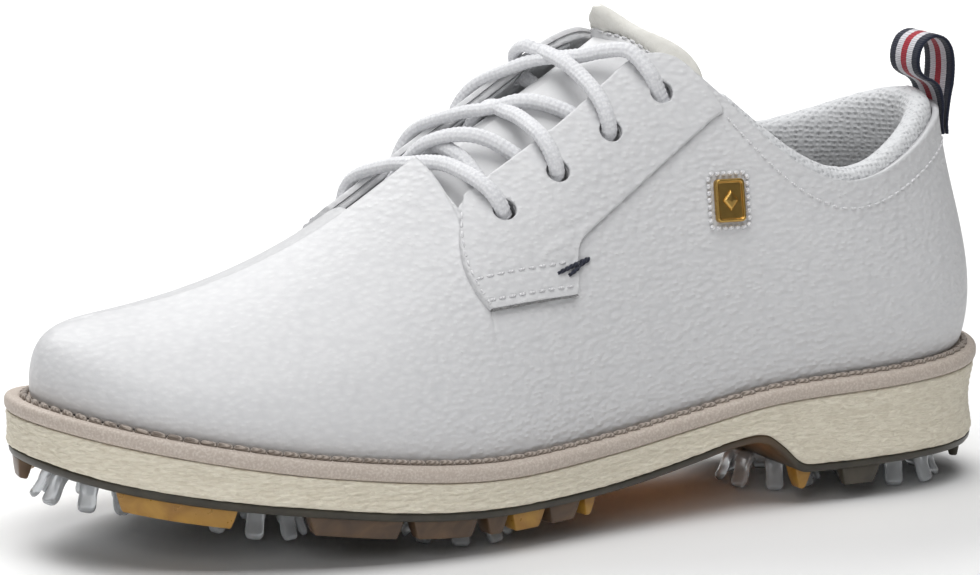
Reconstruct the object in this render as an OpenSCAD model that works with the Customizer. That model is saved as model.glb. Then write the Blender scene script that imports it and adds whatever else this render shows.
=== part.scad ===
// Spiked golf shoe, left foot: welted leather upper, laced over a tongue, on a foam midsole and
// a moulded outsole that takes twist-in soft spikes. The toe points along +X, the outer (lateral)
// side faces +Y, and the shoe stands on its spikes at z = 0.

/* [Size] */
// Grading factor: 1.05 is a women's US 7 (EU 37.5), with a sole 270 mm long
grade = 1.05; // [0.95:0.01:1.2]

/* [Sole] */
// Thickness of the welt strip
welt_t = 3.9; // [3:0.1:5]
// Thickness of the moulded outsole plate
plate_t = 2.3; // [1.5:0.1:3]
// Height of the traction lugs below the plate
lug_h = 4.6; // [3:0.1:5.5]
// Thickness of the board that the upper is lasted to
board_t = 1.8; // [1.2:0.1:2.2]
// Thickness of the removable footbed
footbed_t = 4.5; // [3:0.1:6]

/* [Upper] */
// Thickness of the leather of the upper
leather_t = 1.6; // [1.2:0.1:1.8]
// Thickness of the eyestay facings on top of it
facing_t = 1.35; // [1:0.05:1.6]
// Thickness of the tongue leather
tongue_t = 1.4; // [1:0.1:2]
// Radius of each punched eyelet
eyelet_r = 2.9; // [2.6:0.1:3.2]

/* [Lace] */
// Width of the lace
lace_w = 3.8; // [3.5:0.1:5]
// Thickness of the lace
lace_t = 2.8; // [2:0.1:3]

/* [Spikes] */
// Radius of the circle through the ends of a spike's legs
spike_r = 14.2; // [12:0.1:14.5]
// Height of a spike below the outsole plate
spike_h = 9.5; // [8:0.1:10]
// Number of legs on a spike
spike_legs = 8; // [6:1:10]

/* [Pull tab] */
// Width of the ribbon
ribbon_w = 13.5; // [10:0.5:15]
// Thickness of the ribbon
ribbon_t = 0.9; // [0.7:0.1:1.5]

/* [Hidden] */
SPIKES = 8;
$fn = 48;

// ---- the last: a surface of rays that rise from the feather line to the crest ----
// Stations run once round the shoe, 0 at the toe, 14 at the heel, the lateral side first.
// feather x, y | crest x, y, z | wall rise, bulge | crest reach, drop | welt width
LATERAL = [
    [256, -2,     240, -6, 54.4,   14, 1.5,  12, 1,   5.6],
    [252.5, 11,   239, -6, 55,     14, 2.5,  13, 1,   5.6],
    [242, 25,     236, -6, 55.6,   15, 3,    15, 2,   5.6],
    [224, 35,     222, -6, 57,     17, 3,    18, 3,   5.8],
    [201, 40.5,   201, -5, 62.5,   20, 3,    21, 4,   5.8],
    [177, 43,     178, -3, 73,     25, 3,    22, 4,   5.5],
    [153, 41.5,   155, -1, 90,     31, 2,    22, 7,   5],
    [129, 36.5,   130, 0, 105,     38, 1,    20, 7,   4.2],
    [106, 32.5,   107, 0, 118,     42, 1,    18, 8,   3.8],
    [88, 30.5,    92, 17, 109,     32, 2,    8, 16,   3.8],
    [70, 30,      76, 27.5, 88.5,  22, 3.5,  2, 18,   4],
    [52, 30,      58, 31, 77.5,    18, 5,    2, 16,   4.2],
    [33, 29,      40, 27.5, 81,    18, 6,    2, 16,   4.3],
    [15, 22,      19.5, 15, 90,    20, 7,    2, 20,   4.3],
    [5, 1,        9.5, -1, 93.5,   20, 5.5,  2, 22,   4.3]];
MEDIAL = [
    [253, -13,    239, -6, 55,     13, 0.5,  11, 1.5, 5.6],
    [243, -26.5,  236, -6, 55.6,   14, 1,    13, 2,   5.6],
    [225.5, -36.5, 222, -6, 57,    17, 2,    17, 3,   5.8],
    [203, -42,    201, -5, 62.5,   21, 3,    20, 4,   5.8],
    [179, -42,    178, -3, 73,     27, 3,    22, 2,   5.5],
    [154, -36,    155, -1, 90,     34, 3,    25, -6,  4.6],
    [129, -29,    130, 0, 105,     42, 4,    25, -8,  3.6],
    [106, -25.5,  106, -6, 118.5,  46, 5,    20, -2,  3.2],
    [88, -25.5,   91, -20, 109,    34, 5,    8, 14,   3.4],
    [70, -27,     76, -27.5, 92,   26, 5,    2, 18,   3.8],
    [52, -28,     58, -31, 82.5,   20, 5,    2, 16,   4.2],
    [33, -27.5,   40, -29, 84,     18, 6,    2, 16,   4.3],
    [15, -20.5,   19.5, -17.5, 91.5, 20, 7,  2, 20,   4.3]];
STATIONS = concat(LATERAL, [for (i = [len(MEDIAL) - 1:-1:0]) MEDIAL[i]]);
COUNT = len(STATIONS);
HEEL = 14;
// Height of the feather line, where the upper meets the welt: x, z
FEATHER = [[-10, 34.8], [10, 33.5], [40, 32], [75, 30.5], [100, 27], [125, 24], [160, 22.5],
    [200, 26.5], [230, 31.5], [258, 37], [290, 44]];
// Underside of the foam midsole, with the step of the heel breast: x, z
UNDERSIDE = [[-12, 12.6], [10, 11.4], [40, 10.9], [65, 10.8], [69, 11.6], [74, 16], [79, 19.2],
    [87, 19], [98, 16.8], [112, 14.4], [126, 12.8], [142, 12], [160, 11.8], [180, 13],
    [202, 15.6], [231, 19.4], [251, 23], [266, 27.5], [290, 36]];
// Middle of the toe-to-heel length, which the origin sits under
MID_X = 132.3;
MID_Y = 0.2;
GAP = 0.15;

// Smooth curve through points whose x values rise
function slope_at(p, i) = i == 0 ? (p[1].y - p[0].y) / (p[1].x - p[0].x)
    : i == len(p) - 1 ? (p[i].y - p[i - 1].y) / (p[i].x - p[i - 1].x)
    : (p[i + 1].y - p[i - 1].y) / (p[i + 1].x - p[i - 1].x);
function span_of(p, x, i = 0) = i >= len(p) - 2 || x < p[i + 1].x ? i : span_of(p, x, i + 1);
function curve(p, x) = let (i = span_of(p, x), h = p[i + 1].x - p[i].x,
        u = min(1, max(0, (x - p[i].x) / h)))
    (2 * u^3 - 3 * u^2 + 1) * p[i].y + (u^3 - 2 * u^2 + u) * h * slope_at(p, i)
    + (3 * u^2 - 2 * u^3) * p[i + 1].y + (u^3 - u^2) * h * slope_at(p, i + 1);

function unit(v) = v / norm(v);
function station(i) = STATIONS[(i + COUNT) % COUNT];
function blend(t) = let (i = floor(t), f = t - i)
    ((1 - f)^3 * station(i - 1) + (3 * f^3 - 6 * f^2 + 4) * station(i)
    + (-3 * f^3 + 3 * f^2 + 3 * f + 1) * station(i + 1) + f^3 * station(i + 2)) / 6;
function blend_rate(t) = let (i = floor(t), f = t - i)
    (-(1 - f)^2 * station(i - 1) + (3 * f^2 - 4 * f) * station(i)
    + (-3 * f^2 + 2 * f + 1) * station(i + 1) + f^2 * station(i + 2)) / 2;
// Outward direction of the feather line, in plan
function outward(t) = let (d = blend_rate(t)) unit([d[1], -d[0]]);
// A point of the last: t runs round the shoe and v from the feather line up to the crest
function last_point(t, v) = let (r = blend(t), n = outward(t),
        foot = [r[0], r[1], curve(FEATHER, r[0])], crest = [r[2], r[3], r[4]],
        low = foot + [n.x * r[6], n.y * r[6], r[5]],
        high = crest + [n.x * r[7], n.y * r[7], -r[8]])
    (1 - v)^3 * foot + 3 * (1 - v)^2 * v * low + 3 * (1 - v) * v^2 * high + v^3 * crest;
function last_normal(t, v) = let (w = min(v, 0.985), e = 0.01,
        along = last_point(t + e, w) - last_point(t + COUNT - e, w),
        up = last_point(t, w + e) - last_point(t, w - e)) unit(cross(along, up));
// A point at a distance o outside the last
function skin_point(t, v, o) = last_point(t, v) + o * last_normal(t, v);
// The sole's outline in plan, at a distance o outside the feather line
function outline_point(t, o) = let (r = blend(t), n = outward(t)) [r[0], r[1]] + n * o;
function welt_edge(t, o) = outline_point(t, blend(t)[9] + o);
function feather_z(x) = curve(FEATHER, x);
function under_z(x) = curve(UNDERSIDE, x);

// ---- solids from point grids ----
function flat_list(g) = [for (c = g) for (p = c) p];
// Solid between two grids of points, which are lists of columns. A ring closes on itself.
// The top rows of the first zip columns meet their mirror images along the crest.
module skin(outer, inner, ring = false, zip = 0) {
    nc = len(outer);
    nr = len(outer[0]);
    function id(s, i, j) = s * nc * nr
        + (j == nr - 1 && zip > 0 && i >= nc - zip ? (nc - i) * nr + j : i * nr + j);
    function quad(a, b, c, d) = [[a, b, c], [a, c, d]];
    last = ring ? nc - 1 : nc - 2;
    faces = [for (i = [0:last]) let (n = (i + 1) % nc,
            shared = zip > 0 && (i < zip || i >= nc - zip)) each concat(
        [for (j = [0:nr - 2]) each quad(id(0, i, j), id(0, n, j), id(0, n, j + 1), id(0, i, j + 1))],
        [for (j = [0:nr - 2]) each quad(id(1, i, j), id(1, i, j + 1), id(1, n, j + 1), id(1, n, j))],
        quad(id(0, i, 0), id(1, i, 0), id(1, n, 0), id(0, n, 0)),
        shared ? [] : quad(id(0, i, nr - 1), id(0, n, nr - 1), id(1, n, nr - 1), id(1, i, nr - 1)))];
    ends = ring ? [] : [for (j = [0:nr - 2]) each concat(
        quad(id(0, 0, j), id(0, 0, j + 1), id(1, 0, j + 1), id(1, 0, j)),
        quad(id(0, nc - 1, j), id(1, nc - 1, j), id(1, nc - 1, j + 1), id(0, nc - 1, j + 1)))];
    polyhedron(concat(flat_list(outer), flat_list(inner)), concat(faces, ends));
}
// Grid over the columns in list ts, between heights lo(t) and hi(t), at a distance o
function last_grid(ts, lo, hi, rows, o) = [for (t = ts)
    [for (j = [0:rows]) skin_point(t, lo(t) + (hi(t) - lo(t)) * j / rows, o)]];
// Panel of the upper: a part of the last between two distances from it
module panel(ts, lo, hi, rows, o_in, o_out, ring = false, zip = 0)
    skin(last_grid(ts, lo, hi, rows, o_out), last_grid(ts, lo, hi, rows, o_in), ring, zip);

// Tube along a list of points, with an oval section laid flat to the normals in list ns
module tube(points, ns, w, h, sides = 8) {
    n = len(points);
    rings = [for (i = [0:n - 1]) let (
            d = unit(points[min(i + 1, n - 1)] - points[max(i - 1, 0)]),
            side = unit(cross(d, ns[i])), up = cross(side, d))
        for (k = [0:sides - 1]) let (a = 360 * k / sides)
            points[i] + side * (w / 2) * cos(a) + up * (h / 2) * sin(a)];
    polyhedron(rings, concat(
        [for (i = [0:n - 2]) for (k = [0:sides - 1]) let (m = (k + 1) % sides)
            each [[i * sides + k, (i + 1) * sides + k, (i + 1) * sides + m],
                [i * sides + k, (i + 1) * sides + m, i * sides + m]]],
        [[for (k = [0:sides - 1]) k]], [[for (k = [sides - 1:-1:0]) (n - 1) * sides + k]]));
}
// Row of thread that lies on the last along (t, v) points, a distance o outside it
module thread_row(path, o, d)
    tube([for (p = path) skin_point(p[0], p[1], o)], [for (p = path) last_normal(p[0], p[1])], d, d, 6);

// ---- layers of the sole: an outline extruded up, cut to a side profile ----
SOLE_STEPS = 84;
function outline(o) = [for (i = [0:SOLE_STEPS - 1]) welt_edge(COUNT * i / SOLE_STEPS, o)];
function feather_outline(o) = [for (i = [0:SOLE_STEPS - 1]) outline_point(COUNT * i / SOLE_STEPS, o)];
PROFILE_X = [for (x = [-12:8:60]) x, 65, 67, 69, 71.5, 74, 76.5, 79, 83, for (x = [88:6:280]) x];
module between(low, high)
    rotate([90, 0, 0]) linear_extrude(200, center = true) polygon(concat(
        [for (x = PROFILE_X) [x, low(x)]],
        [for (i = [len(PROFILE_X) - 1:-1:0]) [PROFILE_X[i], high(PROFILE_X[i])]]));
module layer(low, high) {
    intersection() {
        linear_extrude(70) children();
        between(low, high);
    }
}
// Strip along the edge of the plate, from station a to b and from inset i to j
module edge_strip(a, b, i, j) {
    n = max(3, ceil(abs(b - a) * 5));
    polygon(concat([for (k = [0:n]) welt_edge(a + (b - a) * k / n, -i)],
        [for (k = [n:-1:0]) welt_edge(a + (b - a) * k / n, -j)]));
}

// ---- places of the spikes: x, y of each axis on the outsole ----
SPIKE_XY = [[31, 12], [38, -17.5], [61, 4.5], [158, 23], [180, -25], [206, 13], [212, -26], [238, -10]];
function plate_low(x) = under_z(x) - plate_t;
// Lean of the outsole at a spike: flat under the heel and ball, rising towards the toe
function lean(x) = x < 190 ? 0 : atan((plate_low(x + 8) - plate_low(x - 8)) / 16);
// Height at which a spike's flange meets the plate; those on the flat all reach the ground
function seat_z(x) = x < 190 ? spike_h : plate_low(x) - 0.3;
module at_spike(i) {
    x = SPIKE_XY[i].x;
    translate([x, SPIKE_XY[i].y, seat_z(x)]) rotate([0, -lean(x), 0]) children();
}
cup_r = 7.4;
cup_h = 5.6;
stem_r = 5.6;
flange_r = 9.6;

// ======================= sole =======================
module shoe() scale(grade) translate([-MID_X, -MID_Y, 0]) children();

module spike_pockets() for (i = [0:SPIKES - 1]) at_spike(i) {
    translate([0, 0, -3]) cylinder(r = flange_r + 0.5, h = 3.1);
    cylinder(r = cup_r + GAP, h = cup_h + 0.5);
}

module outsole_plate() color("#3f3a2e") shoe() difference() {
    layer(function(x) under_z(x) - plate_t, function(x) under_z(x) - GAP) polygon(outline(-0.8));
    spike_pockets();
}

module lug(a, b, i = 2.5, j = 8.5) layer(function(x) under_z(x) - plate_t - lug_h,
    function(x) under_z(x) - plate_t - GAP) edge_strip(a, b, i, j);

// Places along the edge, in stations, of the lugs round the forefoot and waist
module amber_lugs() color("#b5832a") shoe() {
    lug(1.75, 3.1);
    lug(5.95, 6.35);
    lug(6.85, 7);
    lug(10.05, 10.3, 3, 8);
    lug(21.7, 22.1);
    lug(24.3, 25, 1.5, 5.2);
    lug(26.2, 27.2, 1.5, 5);
    lug(18.2, 18.45, 4, 10);
}
module brown_lugs() color("#5d4530") shoe() {
    lug(3.8, 4.75);
    lug(4.85, 5.55, 2.5, 7.5);
    lug(5.65, 5.9);
    lug(6.4, 6.8);
    lug(21.1, 21.6);
    lug(22.2, 23.1);
    lug(23.25, 24.2, 1.5, 5.2);
    lug(27.3, 27.9, 1.5, 5);
}
module heel_lugs() color("#3a362c") shoe() {
    lug(10.75, 11.35, 2, 5.6);
    lug(13.1, 14.7, 3, 6.5);
    lug(15, 15.4, 1.5, 5);
}

module spike_receptacles() color("#2e2b26") shoe() for (i = [0:SPIKES - 1]) at_spike(i)
    translate([0, 0, 0.3]) difference() {
        cylinder(r = cup_r, h = cup_h);
        translate([0, 0, -1]) cylinder(r = stem_r + 0.1, h = cup_h);
    }

// One leg: a curved strut that springs out of the flange and ends in a flat foot
module spike_leg() rotate([90, 0, 0]) linear_extrude(4.4, center = true) polygon([
    [7, -0.4], [9.3, -0.4], [11.2, -2.6], [12, -5.2], [spike_r, -spike_h + 1.6],
    [spike_r, -spike_h], [spike_r - 3.6, -spike_h], [9.6, -6], [8.6, -3.6], [7, -2.4]]);
module spike(i) color("#dfe4e8") shoe() at_spike(i) {
    difference() {
        union() {
            translate([0, 0, -2.4]) cylinder(r = flange_r, h = 2.2);
            translate([0, 0, -1]) cylinder(r = stem_r, h = 5.6);
            for (k = [0:spike_legs - 1]) rotate(360 * (k + 0.5) / spike_legs) spike_leg();
        }
        for (s = [-1, 1]) translate([s * 4, 0, -3]) cylinder(r = 1.2, h = 2.6);
        translate([0, 0, 1]) cylinder(r = 3.6, h = 4);
    }
}

module midsole() color("#ded6c2") shoe() difference() {
    layer(function(x) under_z(x), function(x) feather_z(x) - welt_t - GAP) polygon(outline(0));
    spike_pockets();
}
module welt() color("#9c8d80") shoe() layer(function(x) feather_z(x) - welt_t, function(x) feather_z(x) - GAP)
    difference() {
        polygon(outline(0.2));
        polygon(feather_outline(-4));
    }
module welt_thread() color("#cfc6bb") shoe() {
    path = [for (i = [0:110]) COUNT * (i + 0.5) / 111.5];
    pts = [for (t = path) let (q = outline_point(t, 1.6)) [q.x, q.y, feather_z(q.x) + 0.55]];
    tube(pts, [for (t = path) [0, 0, 1]], 1.1, 1.1, 6);
}
module insole_board() color("#a98a63") shoe() layer(function(x) feather_z(x) - board_t - GAP,
    function(x) feather_z(x) - GAP) polygon(feather_outline(-4.3));
module sole_filler() color("#8c7a5c") shoe() difference() {
    layer(function(x) feather_z(x) - welt_t, function(x) feather_z(x) - board_t - 2 * GAP)
        polygon(feather_outline(-4.3));
    translate([50, -8.3, 0]) cube([96.6, 16.6, 60]);
}
module shank() color("#8f959b") shoe() layer(function(x) feather_z(x) - welt_t + 0.3,
    function(x) feather_z(x) - board_t - 3 * GAP) translate([50.3, -8]) square([96, 16]);
module footbed() color("#4a4f57") shoe() layer(function(x) feather_z(x) + 0.1,
    function(x) feather_z(x) + footbed_t) polygon(feather_outline(-7.6));

// ======================= upper =======================
// Station and height of the eyelets on the lateral side; the medial side mirrors them
EYELETS = [[6.28, 0.624], [6.89, 0.632], [7.56, 0.654], [8.37, 0.765]];
THROAT = 5.9;
CORNER = 9.34;
// Upper and lower edge of the eyestay facing: t, v
FACING_TOP = [[5.78, 0.69], [5.97, 0.74], [6.4, 0.749], [7.09, 0.758], [7.7, 0.801], [8.38, 0.92],
    [8.8, 0.995], [9.1, 0.985], [9.34, 0.93]];
FACING_LOW = [[5.78, 0.4], [6.3, 0.362], [6.84, 0.325], [6.9, 0.405], [7, 0.443], [7.5, 0.474],
    [7.95, 0.516], [8.2, 0.553], [8.4, 0.591], [8.6, 0.638], [8.8, 0.696], [9, 0.766], [9.15, 0.829],
    [9.34, 0.9]];
// How much lower the upper edge of the medial facing lies
MEDIAL_DROP = [[5.78, 0], [7.09, 0], [7.7, 0.015], [8.38, 0.07], [8.8, 0.105], [9.1, 0.08], [9.34, 0]];
// The medial facing sits further forward. Stations that match, counted from the toe: lateral, medial
MATCH = [[0, 0], [5.88, 5.12], [8.8, 7.6], [9.34, 8.94], [14, 14]];
function mirror_t(t) = COUNT - t;
function side_t(side, t) = side > 0 ? t : mirror_t(lookup(t, MATCH));
// The lateral station that a station of either side matches
function fold(t) = t > HEEL ? lookup(mirror_t(t), [for (m = MATCH) [m[1], m[0]]]) : t;
function facing_top(t) = curve(FACING_TOP, fold(t)) - (t > HEEL ? curve(MEDIAL_DROP, fold(t)) : 0);
// Where the leather of the upper ends: at the crest, or just short of the facing's inner edge
function leather_top(t) = let (q = fold(t))
    q > THROAT && q < (t > HEEL ? 9.3 : 8.8) ? facing_top(t) - 0.012 : 1;
// Columns of the upper, closer together at the throat
HALF = concat([for (i = [0:15]) i / 3], [5.12, 5.19, 5.42, 5.65, THROAT, 5.97], [for (i = [19:41]) i / 3]);
RING = concat(HALF, [HEEL], [for (i = [len(HALF) - 1:-1:1]) mirror_t(HALF[i])]);
THROAT_COLUMN = 16;
ZERO = function(t) 0;

module eyelet_holes(side) for (e = EYELETS) {
    t = side_t(side, e[0]);
    n = last_normal(t, e[1]);
    translate(last_point(t, e[1])) rotate([0, acos(n.z), atan2(n.y, n.x)])
        cylinder(r = eyelet_r, h = 12, center = true, $fn = 24);
}

module upper_shell() color("#e9e9ea") shoe() difference() {
    panel(RING, ZERO, function(t) leather_top(t), 12, -leather_t, 0, ring = true, zip = THROAT_COLUMN);
    eyelet_holes(1);
    eyelet_holes(-1);
}
function steps(a, b, n) = [for (i = [0:n]) a + (b - a) * i / n];
module toe_puff() color("#c9bfae") shoe() {
    half = steps(0, 3, 9);
    panel(concat([for (i = [9:-1:1]) mirror_t(half[i])], half), function(t) 0.04, function(t) 0.8, 6,
        -2.6, -leather_t - 0.2);
}
module heel_counter() color("#b9ab94") shoe() panel(steps(10, 18, 24), function(t) 0.03,
    function(t) 0.45, 5, -2.6, -leather_t - 0.2);

// Linings: the forefoot and quarters are plain, the collar is padded and rolls over its edge
module vamp_lining() color("#d9d9d6") shoe() panel(
    concat([for (t = steps(4.88, 0.4, 12)) mirror_t(t)], steps(0, 5.6, 14)),
    function(t) 0.03, function(t) 0.94, 8, -3.6, -2.8);
module quarter_lining(side) color("#cfd0d1") shoe() difference() {
    ts = side > 0 ? steps(5.75, 9.2, 12) : steps(side_t(-1, 9.2), side_t(-1, 5.75), 12);
    panel(ts, function(t) 0.03, function(t) leather_top(t) - 0.01, 7, -2.4, -leather_t - 0.1);
    eyelet_holes(side);
}
// Section of the collar: distance along the ray from the leather's edge, distance from the last
COLLAR_SKIN = [[-3, -1.75], [0.5, -1.6], [2.6, -2.2], [3.9, -4.4], [3.3, -7.2], [0.5, -9], [-6, -9.6],
    [-14, -8.4], [-24, -5.6], [-34, -4.2]];
COLLAR_CORE = [[-3, -1.85], [0.2, -2.5], [1.8, -3], [2.9, -4.6], [2.4, -6.6], [0.2, -8.1], [-6, -8.7],
    [-14, -7.5], [-24, -4.7], [-34, -3.4]];
FOAM = [[-3, -1.95], [0, -2.65], [1.6, -3.2], [2.6, -4.7], [2.1, -6.4], [0, -7.9], [-6, -8.5],
    [-14, -7.3], [-24, -4.5], [-31, -3.2]];
FOAM_BACK = [[-3, -1.85], [-5, -1.8], [-7, -1.8], [-9, -1.8], [-11, -1.8], [-13, -1.8], [-17, -1.8],
    [-22, -1.8], [-27, -2.75], [-31, -2.75]];
function ray_length(t) = norm(last_point(t, 0.95) - last_point(t, 0.5))
    + norm(last_point(t, 0.5) - last_point(t, 0));
function section_grid(ts, s) = [for (t = ts) let (l = ray_length(t) * 1.05)
    [for (p = s) skin_point(t, 1 + p[0] / l, p[1])]];
function collar_columns(inset, n) = steps(CORNER + inset, side_t(-1, CORNER) - inset, n);
module collar_lining() color("#c6c8ca") shoe()
    skin(section_grid(collar_columns(0, 44), COLLAR_SKIN), section_grid(collar_columns(0, 44), COLLAR_CORE));
module collar_foam() color("#e6d9a8") shoe()
    skin(section_grid(collar_columns(0.05, 32), FOAM), section_grid(collar_columns(0.05, 32), FOAM_BACK));
// The stitch row stops on both sides of the pull tab
module collar_thread() color("#f4f4f4") shoe()
    for (ts = [steps(CORNER + 0.1, 13.5, 30), steps(14.52, side_t(-1, CORNER) - 0.1, 30)])
        thread_row([for (t = ts) [t, 1 - 6.5 / ray_length(t)]], 0.45, 0.7);

function facing_columns() = concat(steps(5.78, 6.84, 6), steps(6.9, 8.8, 10), steps(8.9, 9.34, 4));
module eyestay(side) color("#ededee") shoe() difference() {
    c = facing_columns();
    ts = side > 0 ? c : [for (i = [len(c) - 1:-1:0]) side_t(-1, c[i])];
    panel(ts, function(t) curve(FACING_LOW, fold(t)), function(t) facing_top(t), 8,
        GAP, GAP + facing_t);
    eyelet_holes(side);
}
// Stitching a little inside the facing's edges
function on_side(side, path) = [for (p = path) [side_t(side, p[0]), p[1]]];
function facing_stitch() = concat([for (v = steps(0.66, 0.44, 6)) [5.88, v]],
    [for (t = steps(5.95, 6.75, 8)) [t, curve(FACING_LOW, t) + 0.03]]);
module eyestay_thread(side) color("#fafafa") shoe()
    thread_row(on_side(side, facing_stitch()), facing_t + GAP + 0.4, 0.7);
module bartack(side) color("#23283a") shoe()
    thread_row(on_side(side, [[6.66, 0.395], [6.78, 0.396], [6.9, 0.395], [7, 0.392], [7.1, 0.388]]),
        facing_t + GAP + 0.8, 1.4);

// ---- tongue: an arch below the facings that rises through the gap between them ----
TONGUE_SPAN = 0.36;
TONGUE_O = -5.9;
TONGUE_RISE = [7.3, 9.35];
// Top edge of the tongue's outer face: place across from -1 (medial) to 1 | x, y, z
TONGUE_TOP = [[-1, 97, -12, 103], [-0.7, 100.5, -11.5, 110.5], [-0.5, 104.8, -10.4, 117],
    [-0.35, 106.6, -8.8, 120.6], [-0.1, 102, -4.5, 118.2], [0.15, 97, 2.5, 115.6], [0.4, 92.2, 8.5, 112.8],
    [0.6, 88.8, 12.2, 109], [0.8, 87.6, 15, 104.2], [1, 87.6, 16.8, 98]];
function tongue_arch(t, u) = let (o = TONGUE_O + 2.6 * max(0, 4.7 - t), v = 1 - abs(u) * TONGUE_SPAN,
        left = skin_point(t, v, o), right = skin_point(mirror_t(t), v, o))
    abs(u) < 0.01 ? (left + right) / 2 : u > 0 ? left : right;
function tongue_edge(u) = [for (k = [1:3]) curve([for (r = TONGUE_TOP) [r[0], r[k]]], u)];
// A point of the outer face: t runs up the tongue and u across it
function tongue_face(t, u) =
    let (w = min(1, max(0, (t - TONGUE_RISE[0]) / (TONGUE_RISE[1] - TONGUE_RISE[0])))^1.35)
    (1 - w) * tongue_arch(min(t, 8.2), u) + w * tongue_edge(u);
function tongue_point(t, u, o) = let (e = 0.04,
        across = tongue_face(t, u + e) - tongue_face(t, u - e),
        along = tongue_face(t + e, u) - tongue_face(t - e, u))
    tongue_face(t, u) + o * unit(cross(across, along));
module tongue_layer(t0, t1, n, o_in, o_out, span = 1, columns = 14)
    skin([for (t = steps(t0, t1, n)) [for (u = steps(-span, span, columns)) tongue_point(t, u, o_in)]],
        [for (t = steps(t0, t1, n)) [for (u = steps(-span, span, columns)) tongue_point(t, u, o_out)]]);
module tongue() color("#ececed") shoe() tongue_layer(4.1, 8.6, 18, -tongue_t, 0);
module tongue_foam() color("#d8d4c4") shoe()
    tongue_layer(6.6, 8.1, 6, -tongue_t - 2.6, -tongue_t - GAP, 6 / 7, 12);
module tongue_top_band() color("#e8e7e0") shoe() tongue_layer(8.64, 9.34, 5, -tongue_t - 2, 0.2, 0.98);

// ---- badge on the lateral quarter, with a frame of stitches ----
BADGE = [9.15, 0.551];
module at_badge() {
    n = last_normal(BADGE[0], BADGE[1]);
    translate(last_point(BADGE[0], BADGE[1]))
        rotate([0, 0, atan2(n.y, n.x) + 90]) rotate([acos(n.z) - 90, 0, 0])
        rotate([90, 0, 0]) children();
}
module rounded(w, h, r) hull() for (x = [-1, 1], y = [-1, 1])
    translate([x * (w / 2 - r), y * (h / 2 - r)]) circle(r);
module badge() color("#b08a3c") shoe() at_badge() {
    translate([0, 0, 0.35]) linear_extrude(1.2) rounded(7.6, 10.4, 1);
    translate([0, 0, 1.5]) linear_extrude(0.5) difference() {
        rounded(6.6, 9.4, 0.8);
        rounded(4.6, 7.4, 0.5);
    }
    translate([0, 0, 1.5]) linear_extrude(0.5) rotate(45) square(2.4, center = true);
}
module badge_thread() color("#f6f6f6") shoe() at_badge() {
    for (x = steps(-4.6, 4.6, 5), y = [-6.5, 6.5]) translate([x, y, 0.2]) cylinder(r = 0.62, h = 1.1);
    for (y = steps(-4.9, 4.9, 6), x = [-5.2, 5.2]) translate([x, y, 0.2]) cylinder(r = 0.62, h = 1.1);
}

// ---- lace: one cord, woven through all eight eyelets, both ends tucked inside ----
// Eyelets in the order the lace reaches them: side, number, then over (1) or under (-1)
// where it leaves one facing and where it arrives at the next, and its height at the middle
CROSSINGS = [
    [-1, 3, 1, 1, 2, 1, -0.2], [1, 2, -1, -1, 1, 1, -3.2], [-1, 1, -1, 1, 0, -1, -3.2],
    [1, 0, 1, -1, 0, 1, -1.6], [-1, 0, -1, 1, 1, -1, -0.6], [1, 1, 1, -1, 2, -1, -3.4],
    [-1, 2, 1, 1, 3, 1, -1.2]];
LACE_OVER = facing_t + GAP + 0.1 + lace_t / 2;
LACE_UNDER = -2.5 - lace_t / 2;
LACE_HOLE = -0.5;
function lift(way) = way > 0 ? LACE_OVER : LACE_UNDER;
// An eyelet's own station, counted from the toe
function from_toe(side, e) = side > 0 ? e[0] : lookup(e[0], MATCH);
// Way-points of one crossing, each as t, v and distance from the last
function crossing(c) = let (a = EYELETS[c[1]], b = EYELETS[c[4]])
    let (start = from_toe(c[0], a), d = from_toe(c[3], b) - start)
    [for (p = [[c[0], 0, a[1], LACE_HOLE],
            [c[0], 0.07, a[1] + 0.045, lift(c[2])],
            [c[0], 0.16, a[1] + 0.115, lift(c[2])],
            [c[0], 0.3, max(0.87, a[1] + 0.155), (lift(c[2]) + c[6] * 2) / 3],
            [c[0], 0.42, 0.955, c[6]],
            [c[3], 0.58, 0.955, c[6]],
            [c[3], 0.7, max(0.87, b[1] + 0.155), (lift(c[5]) + c[6] * 2) / 3],
            [c[3], 0.84, b[1] + 0.115, lift(c[5])],
            [c[3], 0.93, b[1] + 0.045, lift(c[5])]])
        [p[0] > 0 ? start + p[1] * d : mirror_t(start + p[1] * d), p[2], p[3]]];
TAIL = [[0.42, -0.2, -4.9], [0.28, -0.12, -4.6], [0.14, -0.05, -4.2]];
function tail(side) = [for (p = TAIL) [side_t(side, EYELETS[3][0] + p[0]), EYELETS[3][1] + p[1], p[2]]];
LACE_ROUTE = concat(tail(-1), [for (c = CROSSINGS) each crossing(c)],
    [[side_t(1, EYELETS[3][0]), EYELETS[3][1], LACE_HOLE]], [for (i = [2:-1:0]) tail(1)[i]]);
module lace() color("#f7f7f8") shoe()
    tube([for (p = LACE_ROUTE) skin_point(p[0], p[1], p[2])], [for (p = LACE_ROUTE) last_normal(p[0], p[1])],
        lace_w, lace_t);
module aglets() color("#d8dadc") shoe() for (side = [-1, 1]) {
    a = skin_point(tail(side)[0][0], tail(side)[0][1], tail(side)[0][2]);
    b = skin_point(tail(side)[1][0], tail(side)[1][1], tail(side)[1][2]);
    d = unit(a - b);
    translate(a + d * 0.2) rotate([0, acos(d.z), atan2(d.y, d.x)]) cylinder(r = 1.4, h = 14, $fn = 24);
}

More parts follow.
